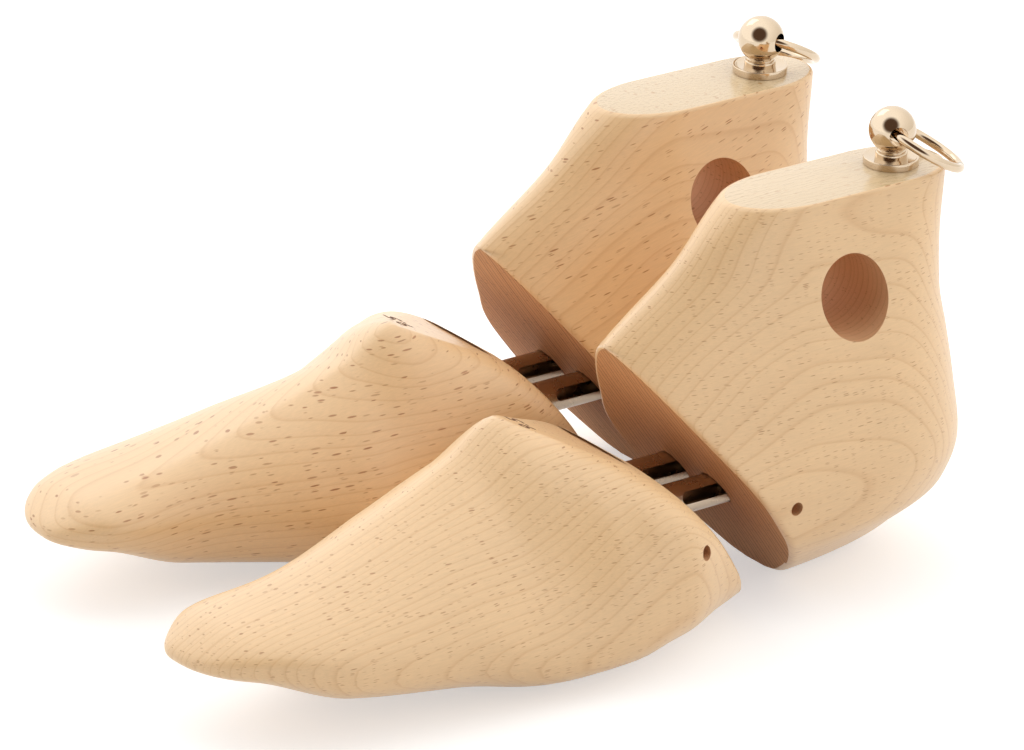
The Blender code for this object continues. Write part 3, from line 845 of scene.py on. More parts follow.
@dataclass
class Tubes:
    """The two spring-loaded tubes, and the bores and pins that hold them."""

    front: SlopingCut
    height: float = 0.0332
    half_spacing: float = 0.0097
    radius: float = 0.005
    wall: float = 0.0008
    lip_radius: float = 0.0022
    tail: float = 0.0115
    grip: float = 0.0225
    travel: float = 0.022
    pin_rise: float = 0.0016
    pin_radius: float = 0.0015
    pin_recess_radius: float = 0.0021
    heel_pin_setback: float = 0.0078
    heel_pin_half: float = 0.0310
    fore_pin_setback: float = 0.0106
    fore_pin_half: float = 0.0300
    spring_length: float = 0.0440
    steps: int = 72
    slot_sides: int = 48

    def heel_pin(self) -> float:
        """Returns where the heel pin is, behind the heel block's front plane."""
        return self.front.heel_x(self.height) + self.heel_pin_setback

    def fore_pin(self) -> float:
        """Returns where the forefoot pin is, ahead of the forefoot block's rear plane."""
        return self.front.fore_x(self.height) - self.fore_pin_setback

    def build(self, where: Standing, steel: Material) -> None:
        """Makes both tubes of one tree.

        Args:
            where: Where the tree stands.
            steel: Finish of the tubes.
        """
        head = self.fore_pin() - self.grip
        length = self.heel_pin() + self.tail - head
        inner = self.radius - self.wall
        chamfer = self.wall / 4
        profile = [
            (self.lip_radius, length), (inner, length), (self.radius, length - self.wall),
            (self.radius, chamfer), (self.radius - chamfer, 0.0), (inner, 0.0),
            (inner, length - self.wall), (self.lip_radius, length - self.wall)]
        reach = self.radius * THROUGH
        for place, label in ((-1, "medial"), (1, "lateral")):
            name = where.node(f"{label}_tube")
            y = place * self.half_spacing
            tube = spun(name + "_drawn", profile, self.steps)
            place_mesh(tube, along_x(head, y, self.height))
            cut_out(tube, self.slot_cutter(self.heel_pin(), y))
            pose = along_y(self.fore_pin(), y - reach / 2, self.height + self.pin_rise)
            cut_out(tube, rod_cutter(self.pin_radius + SLIDE_GAP, reach, pose))
            place_mesh(tube, where.pose())
            smooth(tube, METAL_CREASE)
            dress(tube, steel)
            register(tube, name, where.node("forefoot"))

    def slot_cutter(self, pin_x: float, y: float) -> Piece:
        """Makes the cutter of the long slot that a tube slides on its pin by.

        Args:
            pin_x: Where the heel pin is.
            y: The tube's own offset.

        Returns:
            The cutter.
        """
        start_primitive()
        bpy.ops.mesh.primitive_cylinder_add(
            vertices=self.slot_sides, radius=self.pin_radius + SLIDE_GAP,
            depth=self.radius * THROUGH, rotation=(math.pi / 2, 0, 0))
        cutter = bpy.context.object
        place_mesh(cutter, cutter.matrix_world.copy())
        for vertex in cutter.data.vertices:
            if vertex.co.x < -SHORTEST:
                vertex.co.x -= self.travel
        place_mesh(cutter, Matrix.Translation((pin_x, y, self.height + self.pin_rise)))
        return cutter

    def bore(self, block: Piece, start: float, end: float, wall: Material) -> None:
        """Bores a block for both tubes.

        Args:
            block: The block.
            start: Where the bores start.
            end: Where they end.
            wall: Finish of their walls.
        """
        for place in (-1, 1):
            pose = along_x(start, place * self.half_spacing, self.height)
            cut_out(block, rod_cutter(self.radius + SLIDE_GAP, end - start, pose, wall))

    def drill_pin_hole(self, block: Piece, x: float, half: float, wall: Material) -> None:
        """Drills a block for a cross pin, with a wider recess at each end of the pin.

        Args:
            block: The block.
            x: Where the pin is.
            half: Half the pin's length.
            wall: Finish of the walls.
        """
        height = self.height + self.pin_rise
        end = half + SLIDE_GAP
        near = along_y(x, -end, height)
        cut_out(block, rod_cutter(self.pin_radius + SLIDE_GAP, end * 2, near, wall))
        for pose in (near @ Matrix.Rotation(math.pi, 4, "X"), along_y(x, end, height)):
            cut_out(block, rod_cutter(self.pin_recess_radius, end, pose, wall))


@dataclass
class HeelBlock:
    """The tall heel block: round at the back, cut off by a sloping plane, flat on top."""

    front: SlopingCut
    height: float = 0.1175
    back: float = 0.0203
    half_width: float = 0.038
    nose_reach: float = 0.0610
    nose_round: float = 0.090
    hollow: float = 0.0026
    top_edge: float = 0.0010
    back_power: float = 2.2
    hole_radius: float = 0.0123
    hole_back: float = 0.0296
    hole_height: float = 0.0888
    insert_radius: float = 0.0042
    insert_length: float = 0.0150
    side_columns: int = 54
    face_columns: int = 16
    corner_columns: int = 6
    # How far the side's columns draw in toward its ends, and the most of the front face's half
    # width that a rounded corner takes
    side_draw: float = 0.45
    corner_limit: float = 0.6
    outline_steps: int = 240
    # Rings up to the tip, closer together near the sole, and from there to the top
    low_rings: int = 60
    low_draw: float = 1.35
    high_rings: int = 34
    # Height; back; half width; rounding of the back and of the front; power of the front's
    shares: Table = (
        (0.000, -0.90, 0.20, 1.20, 1.00, 1.8),
        (0.010, -0.50, 0.33, 1.60, 1.00, 1.8),
        (0.041, -0.03, 0.50, 2.00, 1.00, 1.8),
        (0.100, 0.32, 0.72, 1.95, 1.00, 1.8),
        (0.207, 0.86, 0.95, 1.50, 1.00, 1.8),
        (0.310, 1.00, 1.000, 1.35, 1.00, 1.8),
        (0.456, 0.915, 0.910, 1.26, 0.98, 1.5),
        (0.581, 0.820, 0.785, 1.15, 0.86, 1.5),
        (0.697, 0.720, 0.640, 0.95, 0.64, 1.5),
        (0.830, 0.755, 0.500, 0.78, 0.46, 1.6),
        (1.000, 0.847, 0.390, 0.58, 0.26, 2.0),
    )

    def section(self, height: float, inset: float) -> list[Vector]:
        """Draws half a level section, from the back to the front corner.

        Args:
            height: Its height.
            inset: How far it is drawn in.

        Returns:
            Its points.
        """
        row = smooth_table(self.shares, height / self.height)
        back, half, back_round, front_round, power = row
        back_x = back * self.back - inset
        half = half * self.half_width - inset
        above = height - self.front.tip_height
        neck = self.height - self.front.tip_height
        lean = (self.front.tip_reach - self.nose_reach) / neck
        rise = min(max(above / neck, 0.0), 1.0)
        nose_x = -self.front.tip_reach + above * lean + inset
        nose_x += self.hollow * math.sin(math.pi * rise) ** 2
        end_x = nose_x if above >= 0 else max(nose_x, self.front.heel_x(height))
        points = []
        for i in range(self.outline_steps + 1):
            turn = math.pi * i / self.outline_steps
            x = back_x - (back_x - end_x) * (1 - math.cos(turn)) / 2
            behind = superellipse((back_x - x) / (back_round * self.half_width), self.back_power)
            ahead = superellipse((x - nose_x) / (front_round * self.nose_round), power)
            points.append(Vector((x, half * behind * ahead, height)))
        return points

    def ring(self, height: float, inset: float) -> list[Vector]:
        """Draws a whole level ring, its front corners rounded.

        Args:
            height: Its height.
            inset: How far it is drawn in.

        Returns:
            Its points, from the back round to the back.
        """
        side = self.section(height, inset)
        corner = side[-1].copy()
        reach = min(self.front.edge_round, corner.y * self.corner_limit)
        while len(side) > 2 and (side[-1] - corner).length < reach:
            side.pop()
        start = corner + (side[-1] - corner).normalized() * reach
        half = resample(side + [start], self.side_columns, self.side_draw)
        finish = corner - Vector((0, reach, 0))
        for i in range(1, self.corner_columns + 1):
            t = i / self.corner_columns
            half.append(start * (1 - t) ** 2 + corner * 2 * t * (1 - t) + finish * t**2)
        far = Vector((finish.x, -finish.y, height))
        face = [finish.lerp(far, i / self.face_columns) for i in range(1, self.face_columns)]
        other = [Vector((p.x, -p.y, p.z)) for p in reversed(half)]
        return half + face + other[:-1]

    def rings(self) -> list[list[Vector]]:
        """Draws the rings from the sole to the rounded edge of the top.

        Returns:
            The rings, lowest first.
        """
        tip = self.front.tip_height
        rise = self.height - self.top_edge - tip
        levels = [
            (tip * (i / self.low_rings) ** self.low_draw, 0.0) for i in range(self.low_rings)]
        levels += [(tip + rise * i / self.high_rings, 0.0) for i in range(self.high_rings)]
        levels += [
            (self.height - self.top_edge * below, self.top_edge * inward)
            for below, inward in rounding()]
        return [self.ring(height, inset) for height, inset in levels]

    def build(self, tubes: Tubes, where: Standing, board: Board) -> None:
        """Makes and dresses the block of one tree.

        Args:
            tubes: The tubes that slide in it.
            where: Where the tree stands.
            board: The plank it was cut from.
        """
        block = skin(where.node("heel_block_turned"), self.rings())
        finishes = (LACQUERED, SAWN_PAINTED_SHADE, PLANED_PAINTED_SHEEN, BORED_PAINTED_SHADE)
        dress(block, *(finish.material(board, where) for finish in finishes))
        plane = Vector((-math.sin(self.front.slope), 0, -math.cos(self.front.slope)))
        for face in block.data.polygons:
            # The sloping front plane is end grain, its dark colour partly painted shade of a face
            # that looks down
            if face.normal.dot(plane) > IN_PLANE:
                face.material_index = finishes.index(SAWN_PAINTED_SHADE)
            # The flat top takes a greyer colour with faint lines, as painted sheen
            elif face.normal.z > IN_PLANE and face.center.z > self.height - self.top_edge:
                face.material_index = finishes.index(PLANED_PAINTED_SHEEN)
        # Bore walls are drawn darker as painted shade inside the bores
        wall = block.data.materials[finishes.index(BORED_PAINTED_SHADE)]
        width = self.half_width * THROUGH
        pose = along_y(-self.hole_back, -width / 2, self.hole_height)
        cut_out(block, rod_cutter(self.hole_radius, width, pose, wall))
        start = self.front.heel_x(tubes.height) - self.hole_radius
        floor = tubes.heel_pin() + tubes.tail + tubes.spring_length + SLIDE_GAP * 2
        tubes.bore(block, start, floor, wall)
        depth = self.insert_length + SLIDE_GAP
        pose = Matrix.Translation((0, 0, self.height - depth))
        cut_out(block, rod_cutter(self.insert_radius + SLIDE_GAP, depth * 2, pose, wall))
        tubes.drill_pin_hole(block, tubes.heel_pin(), tubes.heel_pin_half, wall)
        place_mesh(block, where.pose())
        smooth(block, WOOD_CREASE)
        register(block, where.node("heel_block"), "heel_blocks")


@dataclass
class ForefootBlock:
    """The forefoot block: a low toe that rises to a planed facet, with the foot's own curve."""

    front: SlopingCut
    toe_reach: float = 0.2576
    length: float = 0.1886
    half_width: float = 0.0485
    apex_reach: float = 0.1400
    apex_height: float = 0.0674
    cap_wide: float = 0.028
    cap_high: float = 0.013
    cap_power: float = 2.2
    lean_start: float = 0.11
    lean_power: float = 1.5
    columns: int = 46
    facet_columns: int = 14
    # How far the columns draw in toward the ends of a side
    column_draw: float = 0.2
    outline_steps: int = 150
    # Passes that settle where a leaning plane meets the outline
    lean_passes: int = 10
    # Rings, closer together near the toe
    ring_count: int = 96
    ring_draw: float = 1.5
    # An inset treats each point as at least this share of the ring's reach from its centre
    inset_limit: float = 0.2
    # Steps that the tables are read in, past the share of the length that the toe's cap takes,
    # and steps of the search for the ridge's end
    read_steps: int = 500
    cap_share: float = 0.16
    search_steps: int = 40
    # End grain, drawn darker partly as painted shade, is looked for only nearer the heel than the
    # apex's reach over this
    end_grain_share: float = 1.3
    size_number: str = "9.5"
    number_size: float = 0.0085
    number_depth: float = 0.00005
    number_inset: float = 0.0085
    number_aside: float = 0.0030
    # Place from the toe; near edge; far edge; sole; crest
    plan_shares: Table = (
        (0.000, 0.62, 0.21, 0.31, -0.085),
        (0.080, 0.66, 0.29, 0.275, -0.070),
        (0.215, 0.85, 0.32, 0.135, -0.025),
        (0.424, 0.935, 0.62, 0.047, 0.037),
        (0.542, 0.995, 0.82, 0.000, 0.078),
        (0.624, 1.04, 0.81, 0.000, 0.090),
        (0.700, 1.06, 0.79, 0.000, 0.040),
        (0.786, 1.05, 0.76, 0.000, -0.010),
        (0.900, 0.87, 0.66, 0.015, -0.010),
        (1.000, 0.74, 0.60, 0.035, 0.000),
    )
    # Place from the toe; widest height; powers of the crown and of the sole
    round_shares: Table = (
        (0.000, 0.54, 2.05, 2.5),
        (0.400, 0.42, 1.56, 2.9),
        (0.600, 0.22, 1.36, 3.2),
        (0.700, 0.28, 1.95, 3.1),
        (0.800, 0.44, 3.20, 2.6),
        (1.000, 0.58, 3.80, 2.3),
    )
    # Place from the toe; height of the ridge
    ridge_shares: Table = (
        (0.000, 0.445),
        (0.080, 0.503),
        (0.215, 0.563),
        (0.424, 0.735),
        (0.542, 0.870),
        (0.624, 1.000),
        (0.660, 0.968),
        (0.700, 0.925),
        (0.750, 0.858),
        (0.805, 0.770),
        (0.870, 0.660),
        (1.000, 0.530),
    )

    def __post_init__(self) -> None:
        """Reads the tables once, finely, and finds where the ridge meets the rear plane."""
        self.sections = [self.read_section(i / self.read_steps) for i in range(self.read_steps + 1)]
        low, high = 0.0, 1.0
        for _ in range(self.search_steps):
            middle = (low + high) / 2
            x, z = self.ridge(middle)
            if x < self.front.fore_x(z):
                low = middle
            else:
                high = middle
        self.rear_share = (low + high) / 2

    def read_section(self, share: float) -> list[float]:
        """Reads an upright section.

        Args:
            share: How far along it is from the toe.

        Returns:
            Near edge, far edge, crest, top, bottom, widest height, and its curves' two powers.
        """
        near, far, sole, crest = smooth_table(self.plan_shares, share)
        widest, crown, round_sole = smooth_table(self.round_shares, share)
        ridge = smooth_table(self.ridge_shares, share)[0]
        wide = superellipse(share * self.length / self.cap_wide, self.cap_power)
        high = superellipse(share * self.length / self.cap_high, self.cap_power)
        middle = crest * self.half_width
        near = middle + (-near * self.half_width - middle) * wide
        far = middle + (far * self.half_width - middle) * wide
        tip = self.apex_height * (self.ridge_shares[0][1] + self.plan_shares[0][3]) / 2
        top = tip + (ridge * self.apex_height - tip) * high
        bottom = tip + (sole * self.apex_height - tip) * high
        return [near, far, middle, top, bottom, bottom + widest * (top - bottom), crown, round_sole]

    def section(self, x: float) -> list[float]:
        """Reads the upright section at a place, between those read before.

        Args:
            x: The place.

        Returns:
            What read_section returns.
        """
        along = min(max((x + self.toe_reach) / self.length, 0.0), 1.0)
        if along < self.cap_share:
            return self.read_section(along)
        step = min(int(along * self.read_steps), self.read_steps - 1)
        blend = along * self.read_steps - step
        return [a + (b - a) * blend for a, b in zip(self.sections[step], self.sections[step + 1])]

    def ridge(self, share: float) -> tuple[float, float]:
        """Returns the place and height of the ridge at a share of the length."""
        height = smooth_table(self.ridge_shares, share)[0] * self.apex_height
        return share * self.length - self.toe_reach, height

    def facet_slope(self) -> float:
        """Returns how fast the planed facet falls toward the heel."""
        rear = self.ridge(self.rear_share)
        return (self.apex_height - rear[1]) / (rear[0] + self.apex_reach)

    def half_ring(self, share: float, shift: float, side: int) -> list[Vector]:
        """Draws one side of the cut by a plane that leans back more and more toward the heel.

        Args:
            share: Where the plane meets the ridge.
            shift: How far it is moved along.
            side: The far side, 1, or the near one, -1.

        Returns:
            Its points from the crown to the sole.
        """
        lean_share = max(0.0, (share - self.lean_start) / (self.rear_share - self.lean_start))
        lean = lean_share**self.lean_power / math.tan(self.front.slope)
        top_x, top_z = self.ridge(share)
        top_x += shift
        slope = self.facet_slope()
        start = math.pi / 2
        if top_z > self.apex_height - (top_x + self.apex_reach) * slope:
            fall = slope * (self.apex_reach + top_x + top_z * lean)
            crease = (self.apex_height - fall) / (1 - slope * lean)
            _, _, _, top, _, waist, crown, _ = self.section(top_x + (top_z - crease) * lean)
            rise = min(max((crease - waist) / (top - waist), 0.0), 1.0)
            start = math.asin(min(rise ** (crown / 2), 1.0))
        points = []
        for i in range(self.outline_steps + 1):
            angle = start - (start + math.pi / 2) * i / self.outline_steps
            x = top_x
            for _ in range(self.lean_passes):
                near, far, middle, top, bottom, waist, crown, round_sole = self.section(x)
                if angle >= 0:
                    height = waist + (top - waist) * max(math.sin(angle), 0.0) ** (2 / crown)
                else:
                    height = waist - (waist - bottom) * abs(math.sin(angle)) ** (2 / round_sole)
                x = top_x + (top_z - height) * lean
            wide = max(math.cos(angle), 0.0) ** (2 / (crown if angle >= 0 else round_sole))
            edge = far if side > 0 else near
            points.append(Vector((x, middle + (edge - middle) * wide, height)))
        return resample(points, self.columns, self.column_draw)

    def ring(self, share: float, shift: float, inset: float) -> list[Vector]:
        """Draws a whole ring.

        Args:
            share: Where its plane meets the ridge.
            shift: How far it is moved along.
            inset: How far it is drawn in.

        Returns:
            Its points.
        """
        far = self.half_ring(share, shift, 1)
        near = self.half_ring(share, shift, -1)
        facet = [near[0].lerp(far[0], i / self.facet_columns) for i in range(1, self.facet_columns)]
        ring = far + list(reversed(near))[1:] + facet
        if inset > 0:
            centre = sum(ring, Vector()) / len(ring)
            reach = max((point - centre).length for point in ring)
            least = reach * self.inset_limit
            ring = [centre.lerp(p, 1 - inset / max((p - centre).length, least)) for p in ring]
        return ring

    def rings(self) -> list[list[Vector]]:
        """Draws the rings from the toe to the rounded edge of the rear plane.

        Returns:
            The rings, the toe's first.
        """
        rings = [
            self.ring(self.rear_share * (i / self.ring_count) ** self.ring_draw, 0.0, 0.0)
            for i in range(self.ring_count)]
        across = self.front.edge_round / math.sin(self.front.slope)
        rings += [
            self.ring(self.rear_share, -across * below, self.front.edge_round * inward)
            for below, inward in rounding()]
        return rings

    def build(self, tubes: Tubes, where: Standing, board: Board) -> None:
        """Makes and dresses the block of one tree.

        Args:
            tubes: The tubes that are pinned in it.
            where: Where the tree stands.
            board: The plank it was cut from.
        """
        block = skin(where.node("forefoot_block_turned"), self.rings())
        finishes = (LACQUERED, SAWN_PAINTED_SHADE, BORED_PAINTED_SHADE)
        dress(block, *(finish.material(board, where) for finish in finishes))
        plane = Vector((math.sin(self.front.slope), 0, math.cos(self.front.slope)))
        end_grain = -self.apex_reach / self.end_grain_share
        for face in block.data.polygons:
            # The sloping rear plane is end grain, its dark colour partly painted shade in the gap
            # between the blocks
            if face.normal.dot(plane) > IN_PLANE and face.center.x > end_grain:
                face.material_index = finishes.index(SAWN_PAINTED_SHADE)
        # Bore walls are drawn darker as painted shade inside the bores
        wall = block.data.materials[finishes.index(BORED_PAINTED_SHADE)]
        floor = tubes.fore_pin() - tubes.grip - SLIDE_GAP
        tubes.bore(block, floor, self.front.fore_x(tubes.height) + self.front.gap / 2, wall)
        tubes.drill_pin_hole(block, tubes.fore_pin(), tubes.fore_pin_half, wall)
        place_mesh(block, where.pose())
        smooth(block, WOOD_CREASE)
        register(block, where.node("forefoot_block"), where.node("forefoot"))
        self.stamp_size(where)

    def stamp_size(self, where: Standing) -> None:
        """Burns the size number in the facet, read from the heel side.

        Args:
            where: Where the tree stands.
        """
        start_primitive()
        bpy.ops.object.text_add()
        number = bpy.context.object
        number.data.body = self.size_number
        number.data.size = self.number_size
        number.data.align_x = "CENTER"
        number.data.align_y = "CENTER"
        number.data.extrude = self.number_depth
        number.data.offset = self.number_depth
        bpy.ops.object.convert(target="MESH")
        number = bpy.context.object
        number.name = number.data.name = where.node("size_number")
        slope = self.facet_slope()
        x = -self.apex_reach + self.number_inset
        right = Vector((0.0, 1.0, 0.0))
        up = Vector((-1.0, 0.0, slope)).normalized()
        turn = Matrix((right, up, right.cross(up))).transposed().to_4x4()
        height = self.apex_height - self.number_inset * slope
        middle = where.knob_axis + Vector((x, self.number_aside, height))
        place_mesh(number, Matrix.Translation(middle) @ turn)
        dress(number, BURNT.material())
        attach(number, where.node("forefoot"))
        LOG.info("%s: %d faces", number.name, len(number.data.polygons))


@dataclass
class PullKnob:
    """The turned knob, its washer and collar, and the ring that hangs in its eye."""

    base: float = 0.1175
    washer_radius: float = 0.00835
    washer_thickness: float = 0.0020
    collar_radius: float = 0.00435
    collar_height: float = 0.0012
    neck_radius: float = 0.0043
    neck_height: float = 0.0008
    # The neck's waist and the heights where it starts and ends, as shares of the neck
    waist: float = 0.93
    waist_top: float = 0.75
    waist_foot: float = 0.35
    ball_radius: float = 0.00705
    shank_radius: float = 0.0024
    shank_length: float = 0.0150
    rim: float = 0.0004
    # Keeps the washer's foot off the face of the block
    foot_gap: float = 0.00002
    turn: float = math.radians(-22)
    eye_radius: float = 0.0029
    ring_radius: float = 0.0125
    ring_wire: float = 0.0014
    ring_offset: float = 0.0114
    ring_droop: float = math.radians(30)
    ring_joint: float = math.radians(-24)
    ring_joint_gap: float = 0.00035
    steps: int = 96
    ball_steps: int = 40
    wire_sides: int = 28
    ring_steps: int = 160

    def heights(self) -> tuple[float, float, float]:
        """Works out the heights above the block's top.

        Returns:
            The bases of the collar and the neck, and the middle of the ball.
        """
        collar = self.washer_thickness + SLIDE_GAP * 2
        neck = collar + self.collar_height + SLIDE_GAP
        drop = math.sqrt(self.ball_radius**2 - self.neck_radius**2)
        return collar, neck, neck + self.neck_height + drop

    def washer(self, name: str) -> Piece:
        """Turns the washer, its top dished inside a raised rim.

        Args:
            name: The piece's name.

        Returns:
            The washer.
        """
        bore = self.shank_radius + SLIDE_GAP
        top = self.base + self.heights()[0] - SLIDE_GAP
        dish = top - self.rim / 2
        inner = self.washer_radius - self.rim * 2
        low = self.base + self.foot_gap
        half = self.rim / 2
        profile = [(bore, low), (bore, dish), (inner - half, dish), (inner, dish + half / 3)]
        profile += self.rounded(self.washer_radius, top, half)
        profile += [(self.washer_radius, low + half / 2), (self.washer_radius - half / 2, low)]
        return spun(name, profile, self.steps)

    def collar(self, name: str) -> Piece:
        """Turns the collar, a little wider at its foot.

        Args:
            name: The piece's name.

        Returns:
            The collar.
        """
        bore = self.shank_radius + SLIDE_GAP
        low = self.base + self.heights()[0] - SLIDE_GAP - self.rim / 2
        top = self.base + self.heights()[1]
        shoulder = top - self.rim / 2
        foot = self.collar_radius + self.rim
        profile = [(bore, low), (bore, top), (self.neck_radius, top), (self.neck_radius, shoulder)]
        profile += self.rounded(foot, shoulder, self.rim)
        profile.append((foot, low))
        return spun(name, profile, self.steps)

    @staticmethod
    def rounded(radius: float, top: float, edge: float) -> list[tuple[float, float]]:
        """Rounds an upper outer corner of a profile, from the top outward.

        Args:
            radius: Radius of the outer side.
            top: Height of the top.
            edge: Radius of the rounding.

        Returns:
            Its points.
        """
        steps = reversed(rounding())
        return [(radius - edge * inward, top - edge * below) for below, inward in steps]

    def stem(self, name: str) -> Piece:
        """Turns the ball, neck and shank in one piece and drills the eye.

        Args:
            name: The piece's name.

        Returns:
            The stem.
        """
        _, neck, ball = self.heights()
        stop = math.asin(self.neck_radius / self.ball_radius)
        centre = self.base + ball
        profile = []
        for i in range(self.ball_steps + 1):
            angle = (math.pi - stop) * i / self.ball_steps
            profile.append((
                self.ball_radius * math.sin(angle), centre + self.ball_radius * math.cos(angle)))
        foot = self.base + neck
        end = foot - self.shank_length
        chamfer = self.rim / 4
        profile += [
            (self.neck_radius * self.waist, foot + self.neck_height * self.waist_top),
            (self.neck_radius, foot + self.neck_height * self.waist_foot),
            (self.neck_radius, foot + chamfer), (self.neck_radius - chamfer, foot),
            (self.shank_radius, foot), (self.shank_radius, end + self.rim),
            (self.shank_radius - self.rim, end), (0.0, end)]
        stem = spun(name, profile, self.steps)
        reach = self.ball_radius * THROUGH
        pose = Matrix.Rotation(self.turn, 4, "Z") @ along_y(0.0, -reach / 2, centre)
        cut_out(stem, rod_cutter(self.eye_radius, reach, pose))
        return stem

    def ring(self, name: str) -> Piece:
        """Bends the ring from round wire, its ends butted on the outer side.

        Args:
            name: The piece's name.

        Returns:
            The ring.
        """
        start_primitive()
        bpy.ops.mesh.primitive_circle_add(
            vertices=self.wire_sides, radius=self.ring_wire, location=(self.ring_radius, 0, 0),
            rotation=(math.pi / 2, 0, 0))
        ring = bpy.context.object
        ring.name = ring.data.name = name
        place_mesh(ring, ring.matrix_world.copy())
        round_angle = 2 * math.pi - self.ring_joint_gap / self.ring_radius
        bpy.ops.object.mode_set(mode="EDIT")
        bpy.ops.mesh.select_all(action="SELECT")
        bpy.ops.mesh.spin(
            steps=self.ring_steps, angle=round_angle, center=(0, 0, 0), axis=(0, 0, 1))
        bpy.ops.object.mode_set(mode="OBJECT")
        tidy_shell(ring)
        eye = Matrix.Translation((0, 0, self.base + self.heights()[2]))
        pose = eye @ Matrix.Rotation(self.turn, 4, "Z") @ Matrix.Rotation(self.ring_droop, 4, "Y")
        pose = pose @ Matrix.Translation((self.ring_offset, 0, 0))
        place_mesh(ring, pose @ Matrix.Rotation(self.ring_joint, 4, "Z"))
        return ring

    def build(self, where: Standing, nickel: Material) -> None:
        """Makes and dresses the knob and ring of one tree.

        Args:
            where: Where the tree stands.
            nickel: Finish of all its pieces.
        """
        made = (
            (self.washer(where.node("washer_turned")), "knob_washer", "heel_blocks"),
            (self.collar(where.node("collar_turned")), "knob_collar", "heel_blocks"),
            (self.stem(where.node("stem_turned")), "knob_stem", "heel_blocks"),
            (self.ring(where.node("ring_bent")), "pull_ring", where.node("ring")),
        )
        for piece, node, body in made:
            place_mesh(piece, where.pose())
            smooth(piece, METAL_CREASE)
            dress(piece, nickel)
            register(piece, where.node(node), body)


@dataclass(frozen=True)
class ProductCamera:
    """The photograph's view: a long lens from the toe side, looking down a little.

    Args:
        focal: Focal length in pixels of the photograph.
        width: Width of the photograph in pixels.
        height: Its height in pixels.
        azimuth: Turn from square on to the trees' sides.
        elevation: Angle above the floor.
        roll: Tilt of the camera.
        distance: Distance to the point aimed at.
        aim: That point, from the front tree's knob axis.
        aim_pixel: Where it falls in the photograph.
        sensor: Width of the sensor in millimetres.
        nearest: Where the view starts.
    """

    focal: float = 7134.0
    width: float = 1024.0
    height: float = 750.0
    azimuth: float = math.radians(37.26)
    elevation: float = math.radians(22.8)
    roll: float = math.radians(1.68)
    distance: float = 2.071
    aim: tuple[float, float, float] = (-0.100, 0.0, 0.050)
    aim_pixel: tuple[float, float] = (613.5, 446.6)
    sensor: float = 36.0
    nearest: float = 0.05

    def place(self, knob_axis: Vector) -> None:
        """Adds the camera to the scene.

        Args:
            knob_axis: Foot of the front tree's knob axis.
        """
        side = Vector((math.cos(self.azimuth), -math.sin(self.azimuth), 0))
        back = Vector((
            -math.sin(self.azimuth) * math.cos(self.elevation),
            -math.cos(self.azimuth) * math.cos(self.elevation),
            math.sin(self.elevation)))
        rise = back.cross(side)
        right = side * math.cos(self.roll) + rise * math.sin(self.roll)
        up = rise * math.cos(self.roll) - side * math.sin(self.roll)
        scale = self.distance / self.focal
        spot = knob_axis + Vector(self.aim) + back * self.distance
        spot -= right * (self.aim_pixel[0] - self.width / 2) * scale
        spot += up * (self.aim_pixel[1] - self.height / 2) * scale
        data = bpy.data.cameras.new("product_camera")
        data.sensor_width = self.sensor
        data.lens = self.focal / self.width * self.sensor
        data.clip_start = self.nearest
        camera = bpy.data.objects.new("product_camera", data)
        turn = Matrix((right, up, back)).transposed().to_4x4()
        camera.matrix_world = Matrix.Translation(spot) @ turn
        bpy.context.scene.collection.objects.link(camera)
        bpy.context.scene.camera = camera


